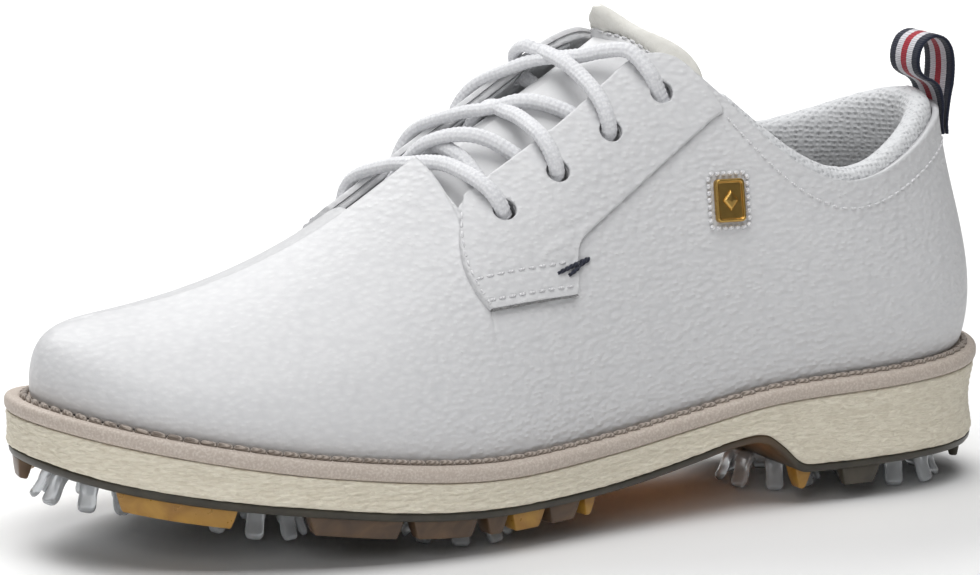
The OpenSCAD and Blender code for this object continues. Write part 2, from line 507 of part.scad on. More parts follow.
// ---- pull tab: a ribbon folded into a teardrop loop, sewn to the back of the heel ----
// Middle of the ribbon, up the strand next to the heel, round the loop and down again: x, z
TAB_LINE = [[11.1, 84.5], [11.6, 88], [12, 91.5], [12.7, 94], [13.9, 96.3], [15.7, 97.9], [17.8, 98.9],
    [19.5, 100.2], [20.3, 102], [20.4, 104], [19.9, 106.2], [18.5, 108.3], [15.6, 109.4], [12.6, 108.4],
    [10.8, 106], [10.1, 103], [10, 100], [10.2, 97], [10.4, 93.5], [10.3, 89], [9.9, 84.5]];
// Where the ribbon is sewn down it wraps the heel; from this height up it lies flat across
TAB_FLAT_Z = 97;
TAB_WRAP = 1 / 30;
TAB_Y = -1;
function tab_point(i, k, o) = let (a = TAB_LINE[max(0, i - 1)], b = TAB_LINE[min(len(TAB_LINE) - 1, i + 1)],
        d = unit(b - a), p = TAB_LINE[i] + o * [-d.y, d.x], y = k * ribbon_w / 2,
        wrap = TAB_WRAP * min(1, max(0, (TAB_FLAT_Z - p.y) / 10)))
    [p.x + wrap * y * y, TAB_Y + y, p.y];
function tab_face(o) = [for (i = [0:len(TAB_LINE) - 1]) [for (k = steps(-1, 1, 6)) tab_point(i, k, o)]];
module pull_tab() color("#232a40") shoe() skin(tab_face(ribbon_t / 2), tab_face(-ribbon_t / 2));

outsole_plate();
amber_lugs();
brown_lugs();
heel_lugs();
spike_receptacles();
spike(0);  // spike_1
spike(1);  // spike_2
spike(2);  // spike_3
spike(3);  // spike_4
spike(4);  // spike_5
spike(5);  // spike_6
spike(6);  // spike_7
spike(7);  // spike_8
midsole();
welt();
welt_thread();
insole_board();
sole_filler();
shank();
footbed();
upper_shell();
toe_puff();
heel_counter();
vamp_lining();
quarter_lining(1);  // quarter_lining_lateral
quarter_lining(-1);  // quarter_lining_medial
collar_foam();
collar_lining();
collar_thread();
eyestay(1);  // eyestay_lateral
eyestay(-1);  // eyestay_medial
eyestay_thread(1);  // eyestay_thread_lateral
eyestay_thread(-1);  // eyestay_thread_medial
bartack(1);  // bartack_lateral
bartack(-1);  // bartack_medial
tongue();
tongue_foam();
tongue_top_band();
badge();
badge_thread();
lace();
aglets();
pull_tab();
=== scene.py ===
"""Looks of the golf shoe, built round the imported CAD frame.

Shapes are worked out in design millimetres, with the heel near x = 4 and the toe near x = 260,
on the same surface of rays ("the last") as the CAD part. world() turns them into the row frame.
"""

import math

import bmesh
import bpy
import numpy as np
from mathutils import Matrix, Vector

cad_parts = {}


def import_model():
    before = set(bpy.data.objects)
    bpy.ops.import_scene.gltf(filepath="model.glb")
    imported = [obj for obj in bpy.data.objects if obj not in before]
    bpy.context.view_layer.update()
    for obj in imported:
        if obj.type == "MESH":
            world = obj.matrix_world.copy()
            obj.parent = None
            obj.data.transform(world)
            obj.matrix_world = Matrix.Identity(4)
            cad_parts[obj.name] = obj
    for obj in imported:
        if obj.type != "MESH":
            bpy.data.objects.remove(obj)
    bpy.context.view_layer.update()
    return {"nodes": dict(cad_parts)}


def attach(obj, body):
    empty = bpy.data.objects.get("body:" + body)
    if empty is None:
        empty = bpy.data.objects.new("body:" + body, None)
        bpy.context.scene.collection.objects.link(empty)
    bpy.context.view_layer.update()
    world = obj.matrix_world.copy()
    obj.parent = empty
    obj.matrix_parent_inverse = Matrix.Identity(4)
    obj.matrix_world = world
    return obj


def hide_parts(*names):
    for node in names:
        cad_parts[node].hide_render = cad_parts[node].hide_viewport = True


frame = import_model()

GRADE = 1.05
SCALE = GRADE / 1000
MIDDLE = np.array([132.3, 0.2, 0.0])


def world(points):
    """Design millimetres to metres in the row frame."""
    return (np.asarray(points, float) - MIDDLE) * SCALE


# ---- camera: the photograph's angle, fitted to the sole, the eyelets and the top line ----
CAMERA_AZIMUTH = math.radians(28)
CAMERA_RISE = math.radians(11)
CAMERA_ROLL = math.radians(0.719)
CAMERA_DISTANCE = 1227.6
CAMERA_TARGET = (136.28, -2.44, 53.88)
CAMERA_LENS = 186.7
back = Vector((math.sin(CAMERA_AZIMUTH) * math.cos(CAMERA_RISE),
               math.cos(CAMERA_AZIMUTH) * math.cos(CAMERA_RISE), math.sin(CAMERA_RISE)))
level_right = Vector((-math.cos(CAMERA_AZIMUTH), math.sin(CAMERA_AZIMUTH), 0))
level_up = back.cross(level_right)
right = math.cos(CAMERA_ROLL) * level_right + math.sin(CAMERA_ROLL) * level_up
up = -math.sin(CAMERA_ROLL) * level_right + math.cos(CAMERA_ROLL) * level_up
camera = bpy.data.objects.new("camera", bpy.data.cameras.new("camera"))
bpy.context.scene.collection.objects.link(camera)
place = Matrix((right, up, back)).transposed().to_4x4()
place.translation = Vector(world(CAMERA_TARGET)) + back * CAMERA_DISTANCE * SCALE
camera.matrix_world = place
camera.data.lens = CAMERA_LENS
camera.data.sensor_width = 36
camera.data.clip_start = 0.05
camera.data.clip_end = 50
bpy.context.scene.camera = camera

# ---- the last: the same stations as the CAD part ----
# Stations run once round the shoe, 0 at the toe, 14 at the heel, the lateral side first.
# feather x, y | crest x, y, z | wall rise, bulge | crest reach, drop | welt width
LATERAL = [
    [256, -2, 240, -6, 54.4, 14, 1.5, 12, 1, 5.6], [252.5, 11, 239, -6, 55, 14, 2.5, 13, 1, 5.6],
    [242, 25, 236, -6, 55.6, 15, 3, 15, 2, 5.6], [224, 35, 222, -6, 57, 17, 3, 18, 3, 5.8],
    [201, 40.5, 201, -5, 62.5, 20, 3, 21, 4, 5.8], [177, 43, 178, -3, 73, 25, 3, 22, 4, 5.5],
    [153, 41.5, 155, -1, 90, 31, 2, 22, 7, 5], [129, 36.5, 130, 0, 105, 38, 1, 20, 7, 4.2],
    [106, 32.5, 107, 0, 118, 42, 1, 18, 8, 3.8], [88, 30.5, 92, 17, 109, 32, 2, 8, 16, 3.8],
    [70, 30, 76, 27.5, 88.5, 22, 3.5, 2, 18, 4], [52, 30, 58, 31, 77.5, 18, 5, 2, 16, 4.2],
    [33, 29, 40, 27.5, 81, 18, 6, 2, 16, 4.3], [15, 22, 19.5, 15, 90, 20, 7, 2, 20, 4.3],
    [5, 1, 9.5, -1, 93.5, 20, 5.5, 2, 22, 4.3]]
MEDIAL = [
    [253, -13, 239, -6, 55, 13, 0.5, 11, 1.5, 5.6], [243, -26.5, 236, -6, 55.6, 14, 1, 13, 2, 5.6],
    [225.5, -36.5, 222, -6, 57, 17, 2, 17, 3, 5.8], [203, -42, 201, -5, 62.5, 21, 3, 20, 4, 5.8],
    [179, -42, 178, -3, 73, 27, 3, 22, 2, 5.5], [154, -36, 155, -1, 90, 34, 3, 25, -6, 4.6],
    [129, -29, 130, 0, 105, 42, 4, 25, -8, 3.6], [106, -25.5, 106, -6, 118.5, 46, 5, 20, -2, 3.2],
    [88, -25.5, 91, -20, 109, 34, 5, 8, 14, 3.4], [70, -27, 76, -27.5, 92, 26, 5, 2, 18, 3.8],
    [52, -28, 58, -31, 82.5, 20, 5, 2, 16, 4.2], [33, -27.5, 40, -29, 84, 18, 6, 2, 16, 4.3],
    [15, -20.5, 19.5, -17.5, 91.5, 20, 7, 2, 20, 4.3]]
STATIONS = np.array(LATERAL + MEDIAL[::-1], float)
COUNT = len(STATIONS)
HEEL = 14
# Height of the feather line, and underside of the foam midsole: x, z
FEATHER = [[-10, 34.8], [10, 33.5], [40, 32], [75, 30.5], [100, 27], [125, 24], [160, 22.5],
           [200, 26.5], [230, 31.5], [258, 37], [290, 44]]
UNDERSIDE = [[-12, 12.6], [10, 11.4], [40, 10.9], [65, 10.8], [69, 11.6], [74, 16], [79, 19.2],
             [87, 19], [98, 16.8], [112, 14.4], [126, 12.8], [142, 12], [160, 11.8], [180, 13],
             [202, 15.6], [231, 19.4], [251, 23], [266, 27.5], [290, 36]]
WELT_T = 3.9
PLATE_T = 2.3
LUG_H = 4.6
LEATHER_T = 1.6
FACING_T = 1.35
GAP = 0.15
# Stations that match on the two sides, counted from the toe: lateral, medial
MATCH = np.array([[0, 0], [5.88, 5.12], [8.8, 7.6], [9.34, 8.94], [14, 14]])


def curve(points, x):
    """Smooth curve through points whose x values rise."""
    p = np.array(points, float)
    slope = np.gradient(p[:, 1], p[:, 0])
    slope[1:-1] = (p[2:, 1] - p[:-2, 1]) / (p[2:, 0] - p[:-2, 0])
    x = np.asarray(x, float)
    i = np.clip(np.searchsorted(p[:, 0], x, side="right") - 1, 0, len(p) - 2)
    h = p[i + 1, 0] - p[i, 0]
    u = np.clip((x - p[i, 0]) / h, 0, 1)
    return ((2 * u**3 - 3 * u**2 + 1) * p[i, 1] + (u**3 - 2 * u**2 + u) * h * slope[i]
            + (3 * u**2 - 2 * u**3) * p[i + 1, 1] + (u**3 - u**2) * h * slope[i + 1])


def unit(v):
    return v / np.maximum(np.linalg.norm(v, axis=-1, keepdims=True), 1e-12)


def run_along(points, axis=0):
    """Distance run from the first point to each point, along an axis of a list or grid of points."""
    steps = np.linalg.norm(np.diff(points, axis=axis), axis=-1)
    return np.cumsum(np.insert(steps, 0, 0.0, axis=axis), axis)


def spline(t, rate=False):
    """The stations' numbers at t, or how fast they change there."""
    t = np.asarray(t, float)
    i = np.floor(t).astype(int)
    f = (t - i)[..., None]
    a, b, c, d = (STATIONS[(i + k) % COUNT] for k in (-1, 0, 1, 2))
    if rate:
        return (-(1 - f)**2 * a + (3 * f**2 - 4 * f) * b + (-3 * f**2 + 2 * f + 1) * c + f**2 * d) / 2
    return ((1 - f)**3 * a + (3 * f**3 - 6 * f**2 + 4) * b
            + (-3 * f**3 + 3 * f**2 + 3 * f + 1) * c + f**3 * d) / 6


def outward(t):
    d = spline(t, rate=True)
    return unit(np.stack([d[..., 1], -d[..., 0]], -1))


def last(t, v):
    """A point of the last: t runs round the shoe and v from the feather line up to the crest."""
    t, v = np.broadcast_arrays(np.asarray(t, float), np.asarray(v, float))
    r, n = spline(t), outward(t)
    foot = np.stack([r[..., 0], r[..., 1], curve(FEATHER, r[..., 0])], -1)
    crest = r[..., 2:5]
    low = foot + np.stack([n[..., 0] * r[..., 6], n[..., 1] * r[..., 6], r[..., 5]], -1)
    high = crest + np.stack([n[..., 0] * r[..., 7], n[..., 1] * r[..., 7], -r[..., 8]], -1)
    v = v[..., None]
    return (1 - v)**3 * foot + 3 * (1 - v)**2 * v * low + 3 * (1 - v) * v**2 * high + v**3 * crest


def last_normal(t, v):
    t, v = np.broadcast_arrays(np.asarray(t, float), np.asarray(v, float))
    w, e = np.minimum(v, 0.985), 0.01
    return unit(np.cross(last(t + e, w) - last(t - e, w), last(t, w + e) - last(t, w - e)))


def skin(t, v, o):
    """A point at a distance o outside the last."""
    o = np.asarray(o, float)
    return last(t, v) + o[..., None] * last_normal(t, v)


def edge_point(t, o):
    """A point of the sole's outline in plan, at a distance o outside the welt's edge."""
    t = np.asarray(t, float)
    r = spline(t)
    return r[..., :2] + outward(t) * (r[..., 9] + o)[..., None]


def side_t(side, t):
    """The station on either side that matches a lateral one; the medial facing sits further forward."""
    t = np.asarray(t, float)
    return t if side > 0 else COUNT - np.interp(t, MATCH[:, 0], MATCH[:, 1])


def ray_length(t):
    return (np.linalg.norm(last(t, 0.95) - last(t, 0.5), axis=-1)
            + np.linalg.norm(last(t, 0.5) - last(t, 0), axis=-1))


# ---- meshes ----
def new_object(name, points, faces, body="shoe", smooth=True):
    """An object from design millimetres that rides on a body."""
    mesh = bpy.data.meshes.new(name)
    mesh.from_pydata(world(points).tolist(), [], [list(map(int, f)) for f in faces])
    mesh.validate()
    mesh.polygons.foreach_set("use_smooth", [smooth] * len(mesh.polygons))
    obj = bpy.data.objects.new(name, mesh)
    bpy.context.scene.collection.objects.link(obj)
    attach(obj, body)
    return obj


FORWARD, REVERSED, TUBE_WISE = [0, 1, 2, 3], [3, 2, 1, 0], [0, 3, 2, 1]


def quads(nc, nr, start=0, ring=False, loop=False, order=FORWARD):
    """Faces of a grid of nc columns of nr points; ring joins its last column to its first, loop its rows."""
    i = np.arange(nc if ring else nc - 1)[:, None]
    j = np.arange(nr if loop else nr - 1)[None, :]
    n, m = (i + 1) % nc, (j + 1) % nr
    f = np.stack(np.broadcast_arrays(i * nr + j, n * nr + j, n * nr + m, i * nr + m), -1)
    return (f.reshape(-1, 4)[:, order] + start).tolist()


def plate_solid(outer, inner, ring=False):
    """Points and faces of a closed solid between two grids."""
    nc, nr = outer.shape[:2]
    size = nc * nr
    faces = quads(nc, nr, 0, ring) + quads(nc, nr, size, ring, order=REVERSED)
    for i in range(nc if ring else nc - 1):
        n = (i + 1) % nc
        faces.append([i * nr, size + i * nr, size + n * nr, n * nr])
        faces.append([i * nr + nr - 1, n * nr + nr - 1, size + n * nr + nr - 1, size + i * nr + nr - 1])
    if not ring:
        end = (nc - 1) * nr
        for j in range(nr - 1):
            faces.append([j, j + 1, size + j + 1, size + j])
            faces.append([end + j, size + end + j, size + end + j + 1, end + j + 1])
    return np.concatenate([outer.reshape(-1, 3), inner.reshape(-1, 3)]), faces


def swept(rings):
    """Points and faces of a solid swept through closed rings, with flat ends."""
    nc, nr = rings.shape[:2]
    faces = quads(nc, nr, loop=True, order=TUBE_WISE)
    faces.append(list(range(nr))[::-1])
    faces.append([(nc - 1) * nr + q for q in range(nr)])
    return rings.reshape(-1, 3), faces


def tube(points, normals, width, height, sides=12, power=1.0):
    """Points and faces of a closed tube with an oval section laid flat to the normals."""
    p, n = np.asarray(points, float), np.asarray(normals, float)
    d = unit(np.gradient(p, axis=0))
    side = unit(np.cross(d, n))
    rise = np.cross(side, d)
    a = np.arange(sides) * 2 * math.pi / sides
    c, s = np.cos(a), np.sin(a)
    c = np.sign(c) * np.abs(c)**power
    s = np.sign(s) * np.abs(s)**power
    width = np.broadcast_to(width, len(p))[:, None, None]
    height = np.broadcast_to(height, len(p))[:, None, None]
    return swept(p[:, None] + side[:, None] * width / 2 * c[None, :, None]
                 + rise[:, None] * height / 2 * s[None, :, None])


def join(parts):
    """One list of points and faces from several."""
    points, faces, start = [], [], 0
    for p, f in parts:
        points.append(p)
        faces.extend([[q + start for q in face] for face in f])
        start += len(p)
    return np.concatenate(points), faces


def bake(obj):
    """Applies an object's modifiers."""
    bpy.context.view_layer.update()
    graph = bpy.context.evaluated_depsgraph_get()
    mesh = bpy.data.meshes.new_from_object(obj.evaluated_get(graph), depsgraph=graph)
    obj.modifiers.clear()
    obj.data = mesh
    mesh.polygons.foreach_set("use_smooth", [True] * len(mesh.polygons))


def weld(obj, distance=1e-5):
    b = bmesh.new()
    b.from_mesh(obj.data)
    bmesh.ops.remove_doubles(b, verts=b.verts, dist=distance)
    bmesh.ops.recalc_face_normals(b, faces=b.faces)
    b.to_mesh(obj.data)
    b.free()


def bevel(obj, width, segments=2, angle=35):
    m = obj.modifiers.new("bevel", "BEVEL")
    m.width = width * SCALE
    m.segments = segments
    m.limit_method = "ANGLE"
    m.angle_limit = math.radians(angle)
    bake(obj)


def cut(obj, points, faces):
    """Takes a solid, in design millimetres, out of an object."""
    cutter = new_object("cutter", points, faces)
    weld(cutter)
    m = obj.modifiers.new("cut", "BOOLEAN")
    m.operation = "DIFFERENCE"
    m.solver = "EXACT"
    m.object = cutter
    bake(obj)
    bpy.data.objects.remove(cutter)


def along_path(path, step):
    """Points a fixed step apart on a smooth line through way-points."""
    p = np.asarray(path, float)
    ends = np.concatenate([[2 * p[0] - p[1]], p, [2 * p[-1] - p[-2]]])
    fine = []
    u = np.linspace(0, 1, 24, endpoint=False)[:, None]
    for a, b, c, d in zip(ends, ends[1:], ends[2:], ends[3:]):
        fine.append(0.5 * (2 * b + (c - a) * u + (2 * a - 5 * b + 4 * c - d) * u**2
                           + (3 * b - a - 3 * c + d) * u**3))
    fine = np.concatenate(fine + [p[-1:]])
    run = run_along(fine[:, :3])
    s = np.linspace(0, run[-1], max(2, int(run[-1] / step)))
    return np.stack([np.interp(s, run, fine[:, k]) for k in range(fine.shape[1])], 1)


def stitches(points, normals, length, gap, thick, tilt=0.0, sink=0.0):
    """A row of single stitches: short rounded threads that dip into the leather at both ends."""
    p, n = np.asarray(points, float), np.asarray(normals, float)
    run = run_along(p)
    count = max(1, int(run[-1] / (length + gap)))
    u = np.linspace(-1, 1, 7)
    parts = []
    for k in range(count):
        s = (k + 0.5) * run[-1] / count + u * length / 2
        q = np.stack([np.interp(s, run, p[:, c]) for c in range(3)], 1)
        m = unit(np.stack([np.interp(s, run, n[:, c]) for c in range(3)], 1))
        across = unit(np.cross(np.gradient(q, axis=0), m))
        q = q + across * (u * tilt)[:, None] - m * (sink + 0.35 * thick * u**4)[:, None]
        size = thick * np.sqrt(np.clip(1 - 0.82 * u**6, 0.05, 1))
        parts.append(tube(q, m, size, size, 7))
    return join(parts)


def surface_row(path, offset, step=0.6):
    """Points and normals of a smooth line over the last, from t, v way-points."""
    tv = along_path([[*last(t, v), t, v] for t, v in path], step)[:, 3:]
    return skin(tv[:, 0], tv[:, 1], np.full(len(tv), offset)), last_normal(tv[:, 0], tv[:, 1])


# ---- materials ----
class Paint:
    """A Principled material whose colour, roughness and bump come from procedural nodes."""

    def __init__(self, name, **sockets):
        self.mat = bpy.data.materials.new(name)
        self.mat.use_nodes = True
        self.nodes, self.links = self.mat.node_tree.nodes, self.mat.node_tree.links
        self.shader = self.nodes["Principled BSDF"]
        for key, value in sockets.items():
            self.shader.inputs[key.replace("_", " ")].default_value = value
        self.place = self.nodes.new("ShaderNodeTexCoord").outputs["Object"]
        self.normal = None

    def put(self, socket, value):
        """Sets a socket to a number or a colour, or links an output to it."""
        if isinstance(value, bpy.types.NodeSocket):
            self.links.new(value, socket)
        else:
            socket.default_value = (*value, 1) if socket.type == "RGBA" else value

    def node(self, kind, **inputs):
        n = self.nodes.new("ShaderNode" + kind)
        for key, value in inputs.items():
            self.put(n.inputs[key.replace("_", " ")], value)
        return n

    def scaled(self, size):
        """The object's coordinates, stretched by size along x, y, z."""
        return self.node("Mapping", Vector=self.place, Scale=size).outputs["Vector"]

    def noise(self, per_metre, detail=3.0, vector=None, roughness=0.5, distortion=0.0):
        return self.node("TexNoise", Vector=vector or self.place, Scale=per_metre, Detail=detail,
                         Roughness=roughness, Distortion=distortion).outputs["Fac"]

    def cells(self, per_metre, randomness=1.0, feature="F1", vector=None):
        n = self.node("TexVoronoi", Vector=vector or self.place, Scale=per_metre)
        n.feature = feature
        n.inputs["Randomness"].default_value = randomness
        return n.outputs["Distance"]

    def waves(self, per_metre, axis, distortion):
        n = self.node("TexWave", Vector=self.place, Scale=per_metre, Distortion=distortion)
        n.bands_direction = axis
        return n.outputs["Fac"]

    def along(self, axis, low, high):
        """0 to 1 between two places along an axis, in metres."""
        return self.fit(self.node("SeparateXYZ", Vector=self.place).outputs[axis], low, high)

    def fit(self, value, low, high, to_low=0.0, to_high=1.0):
        return self.node("MapRange", Value=value, From_Min=low, From_Max=high, To_Min=to_low,
                         To_Max=to_high).outputs["Result"]

    def times(self, a, b):
        n = self.node("Math")
        n.operation = "MULTIPLY"
        self.put(n.inputs[0], a)
        self.put(n.inputs[1], b)
        return n.outputs[0]

    def ramp(self, value, *stops, steps="LINEAR"):
        n = self.node("ValToRGB", Fac=value)
        n.color_ramp.interpolation = steps
        e = n.color_ramp.elements
        while len(e) < len(stops):
            e.new(0.5)
        for k, (place, colour) in enumerate(stops):
            e[k].position = place
            e[k].color = (*colour, 1)
        return n.outputs["Color"]

    def mix(self, value, a, b):
        n = self.nodes.new("ShaderNodeMix")
        n.data_type = "RGBA"
        for socket, x in ((0, value), (6, a), (7, b)):
            self.put(n.inputs[socket], x)
        return n.outputs[2]

    def colour(self, output):
        self.put(self.shader.inputs["Base Color"], output)

    def rough(self, value, low, high):
        self.put(self.shader.inputs["Roughness"], self.fit(value, 0, 1, low, high))

    def finish(self, pattern, colours, rough, *reliefs):
        """Mixes two colours along a pattern, and adds the roughness and the reliefs."""
        self.colour(self.mix(pattern, *colours))
        self.rough(*rough)
        for relief in reliefs:
            self.bump(*relief)
        return self.mat

    def bump(self, height, depth, strength=1.0):
        """Adds a relief of that depth in metres, on top of the ones before."""
        n = self.node("Bump", Height=height, Distance=depth, Strength=strength)
        if self.normal is not None:
            self.put(n.inputs["Normal"], self.normal)
        self.normal = n.outputs["Normal"]
        self.put(self.shader.inputs["Normal"], self.normal)


def pebbled_leather():
    p = Paint("pebbled_leather", Roughness=0.5, Specular_IOR_Level=0.38, Coat_Weight=0.1, Coat_Roughness=0.45)
    grain = p.cells(620, 0.9, "SMOOTH_F1", p.scaled((0.8, 0.8, 1.3)))
    # The grain is pressed deep at the rear and fades to nearly smooth at the toe
    rear = p.fit(p.along("X", 0.075, 0.0), 0, 1, 0.28, 0.95)
    patch = p.fit(p.noise(26, 2), 0.35, 0.65, 0.7, 1.15)
    # The colour is darker in the valleys between the pebbles, where the grain's bump is low: painted shade.
    return p.finish(p.fit(grain, 0.1, 0.75), ((0.70, 0.702, 0.712), (0.63, 0.633, 0.646)),
                    (p.noise(220, 2), 0.42, 0.58), (p.noise(90, 3), 0.00025, 0.5),
                    (p.times(grain, -1.0), 0.00055, p.times(patch, rear)),
                    (p.times(p.cells(1500), -1.0), 0.00006, 0.35))


def smooth_leather(name, colour, dark):
    p = Paint(name, Roughness=0.5, Specular_IOR_Level=0.35)
    return p.finish(p.fit(p.noise(160, 3), 0.35, 0.7), (colour, dark), (p.noise(300, 2), 0.42, 0.62),
                    (p.noise(120, 3), 0.0003, 0.4), (p.cells(1700), 0.00005, 0.4))


def thread(name, colour, dark, per_metre=900):
    p = Paint(name, Roughness=0.7, Specular_IOR_Level=0.3, Sheen_Weight=0.25, Sheen_Roughness=0.5)
    lay = p.waves(per_metre, "DIAGONAL", 1.5)
    # The colour darkens where the lay's bump is low: painted shade in the grooves of the twist.
    return p.finish(lay, (dark, colour), (p.noise(1500, 2), 0.6, 0.85), (lay, 0.0001, 0.6))


def spacer_mesh(name, colour, dark):
    """Spacer mesh: a grid of small rounded holes."""
    p = Paint(name, Roughness=0.85, Specular_IOR_Level=0.2, Sheen_Weight=0.3, Sheen_Roughness=0.5)
    holes = p.fit(p.cells(760, 0.42), 0.0, 0.62)
    yarn = p.noise(2600, 2)
    # The holes are coloured dark down their middles, where the bump is lowest: painted shade in the holes.
    p.colour(p.ramp(holes, (0.0, dark), (0.45, colour), (1.0, colour)))
    p.rough(yarn, 0.75, 0.95)
    p.bump(holes, 0.0005, 0.75)
    p.bump(yarn, 0.00012, 0.5)
    return p.mat


def woven(name, colour, dark, per_metre=950, depth=0.00018):
    p = Paint(name, Roughness=0.85, Specular_IOR_Level=0.2, Sheen_Weight=0.3, Sheen_Roughness=0.5)
    lay = p.times(p.waves(per_metre, "X", 0.8), p.waves(per_metre * 1.1, "Z", 0.8))
    return p.finish(p.fit(p.noise(500, 3), 0.3, 0.75), (colour, dark), (lay, 0.75, 0.95),
                    (lay, depth, 0.7), (p.noise(1800, 2), 0.00012, 0.5))


def crepe_foam():
    p = Paint("crepe_foam", Roughness=0.7, Specular_IOR_Level=0.3)
    wrinkle = p.noise(1050, 3, p.scaled((0.32, 0.32, 1.25)), 0.55, 1.2)
    # The colour darkens where the wrinkles' bump is low: painted shade in the crinkle valleys.
    return p.finish(p.fit(wrinkle, 0.35, 0.7), ((0.68, 0.62, 0.50), (0.85, 0.80, 0.67)),
                    (wrinkle, 0.62, 0.82), (wrinkle, 0.0006, 0.8), (p.noise(1800, 2), 0.00008, 0.4))


def welt_paint():
    p = Paint("welt_leather", Roughness=0.6, Specular_IOR_Level=0.35)
    speck = p.noise(1700, 3)
    return p.finish(p.fit(speck, 0.42, 0.66), ((0.48, 0.41, 0.355), (0.60, 0.535, 0.475)), (speck, 0.5, 0.7),
                    (p.noise(700, 4), 0.00018, 0.5))


def moulded(name, colour, dark, rough=0.4, **sockets):
    """Moulded TPU, with a faint flow pattern."""
    p = Paint(name, Roughness=rough, **sockets)
    flow = p.fit(p.noise(130, 3, distortion=1.0), 0.35, 0.68)
    return p.finish(flow, (dark, colour), (p.noise(420, 3), max(0.05, rough - 0.1), rough + 0.12),
                    (p.noise(900, 3), 0.00006, 0.5))


def outsole_paint():
    """Olive-black, with the amber of the shank's moulding showing through under the arch."""
    p = Paint("outsole_tpu", Roughness=0.38, Specular_IOR_Level=0.5)
    flow = p.noise(130, 3, distortion=1.0)
    plain = p.mix(p.fit(flow, 0.35, 0.68), (0.028, 0.024, 0.016), (0.05, 0.043, 0.028))
    arch = p.times(p.along("X", -0.066, -0.055), p.along("X", 0.004, -0.018))
    middle = p.times(p.along("Y", -0.036, -0.026), p.along("Y", 0.036, 0.026))
    return p.finish(p.times(arch, middle), (plain, (0.42, 0.17, 0.03)), (p.noise(420, 3), 0.3, 0.5),
                    (p.noise(900, 3), 0.00006, 0.5))


def gold():
    p = Paint("gold_metal", Roughness=0.3, Metallic=1.0)
    return p.finish(p.noise(500, 3), ((0.62, 0.40, 0.12), (0.5, 0.31, 0.09)), (p.noise(900, 3), 0.22, 0.42),
                    (p.noise(1400, 2), 0.00003, 0.4))


RIBBON_MIDDLE_Y = (-1 - MIDDLE[1]) * SCALE
RIBBON_HALF = 13.5 / 2 * SCALE


def ribbon_paint():
    """Grosgrain stripes across the width: navy, white, red, white, navy."""
    p = Paint("ribbon", Roughness=0.75, Specular_IOR_Level=0.25, Sheen_Weight=0.3, Sheen_Roughness=0.4)
    across = p.along("Y", RIBBON_MIDDLE_Y - RIBBON_HALF, RIBBON_MIDDLE_Y + RIBBON_HALF)
    navy, white, red = (0.012, 0.016, 0.035), (0.74, 0.73, 0.77), (0.42, 0.012, 0.03)
    stripe = p.ramp(across, (0.0, navy), (0.225, white), (0.405, red), (0.595, white), (0.775, navy),
                    steps="CONSTANT")
    rib = p.waves(620, "Z", 0.3)
    return p.finish(p.fit(rib, 0.0, 1.0, 0.0, 0.25), (stripe, (0.02, 0.02, 0.03)),
                    (p.noise(1500, 2), 0.65, 0.85), (rib, 0.00012, 0.7))


def granular(name, colour, dark, per_metre, rough=0.85, depth=0.0002):
    p = Paint(name, Roughness=rough)
    grain = p.cells(per_metre)
    return p.finish(p.fit(grain, 0.15, 0.75), (colour, dark),
                    (p.noise(per_metre, 3), rough - 0.1, min(1.0, rough + 0.1)), (grain, depth, 0.5))


def brushed_steel():
    p = Paint("spring_steel", Roughness=0.35, Metallic=1.0)
    lines = p.noise(900, 2, p.scaled((0.05, 1.0, 1.0)))
    return p.finish(lines, ((0.5, 0.52, 0.54), (0.36, 0.38, 0.4)), (lines, 0.25, 0.45), (lines, 0.00004, 0.5))


def clear_plastic():
    p = Paint("clear_tpu", Roughness=0.12, IOR=1.46, Transmission_Weight=0.6, Specular_IOR_Level=0.5)
    return p.finish(p.noise(260, 2), ((0.86, 0.89, 0.92), (0.93, 0.95, 0.97)), (p.noise(600, 3), 0.08, 0.2),
                    (p.noise(500, 3), 0.00008, 0.5))


LEATHER = pebbled_leather()
TONGUE_LEATHER = smooth_leather("tongue_leather", (0.75, 0.752, 0.76), (0.69, 0.692, 0.70))
# Near-black material for the strip along the facing's lower edge: painted shade, a shadow line.
EDGE_SHADE = granular("edge_shade", (0.12, 0.12, 0.125), (0.3, 0.3, 0.3), 1500, 0.9)
WHITE_THREAD = thread("white_thread", (0.86, 0.86, 0.87), (0.6, 0.6, 0.62))
NATURAL_THREAD = thread("natural_thread", (0.47, 0.41, 0.36), (0.2, 0.165, 0.14), 620)
NAVY_THREAD = thread("navy_thread", (0.022, 0.026, 0.05), (0.008, 0.01, 0.02))
LACE_BRAID = granular("lace_cord", (0.82, 0.825, 0.84), (0.70, 0.705, 0.73), 1500, 0.75, 0.00008)
COLLAR_MESH = spacer_mesh("collar_mesh", (0.7, 0.71, 0.725), (0.3, 0.31, 0.33))
LINING = woven("lining_fabric", (0.62, 0.63, 0.64), (0.5, 0.51, 0.53))
FOOTBED_TOP = woven("footbed_fabric", (0.075, 0.085, 0.1), (0.05, 0.055, 0.065), 800)
IVORY = woven("ivory_fabric", (0.87, 0.86, 0.81), (0.80, 0.785, 0.73), 1200, 0.00012)
FOAM_CREPE = crepe_foam()
WELT_PAINT = welt_paint()
OUTSOLE = outsole_paint()
AMBER = moulded("amber_tpu", (0.56, 0.30, 0.045), (0.40, 0.19, 0.025), 0.3,
                Transmission_Weight=0.25, IOR=1.5, Specular_IOR_Level=0.5)
BROWN = moulded("brown_tpu", (0.15, 0.085, 0.04), (0.085, 0.05, 0.028), 0.35,
                Transmission_Weight=0.12, IOR=1.5, Specular_IOR_Level=0.5)
DARK_LUG = moulded("dark_tpu", (0.07, 0.058, 0.04), (0.04, 0.034, 0.024), 0.4)
SOCKET = moulded("receptacle_plastic", (0.05, 0.045, 0.04), (0.03, 0.028, 0.025), 0.5)
CLEAR = clear_plastic()
GOLD = gold()
RIBBON = ribbon_paint()
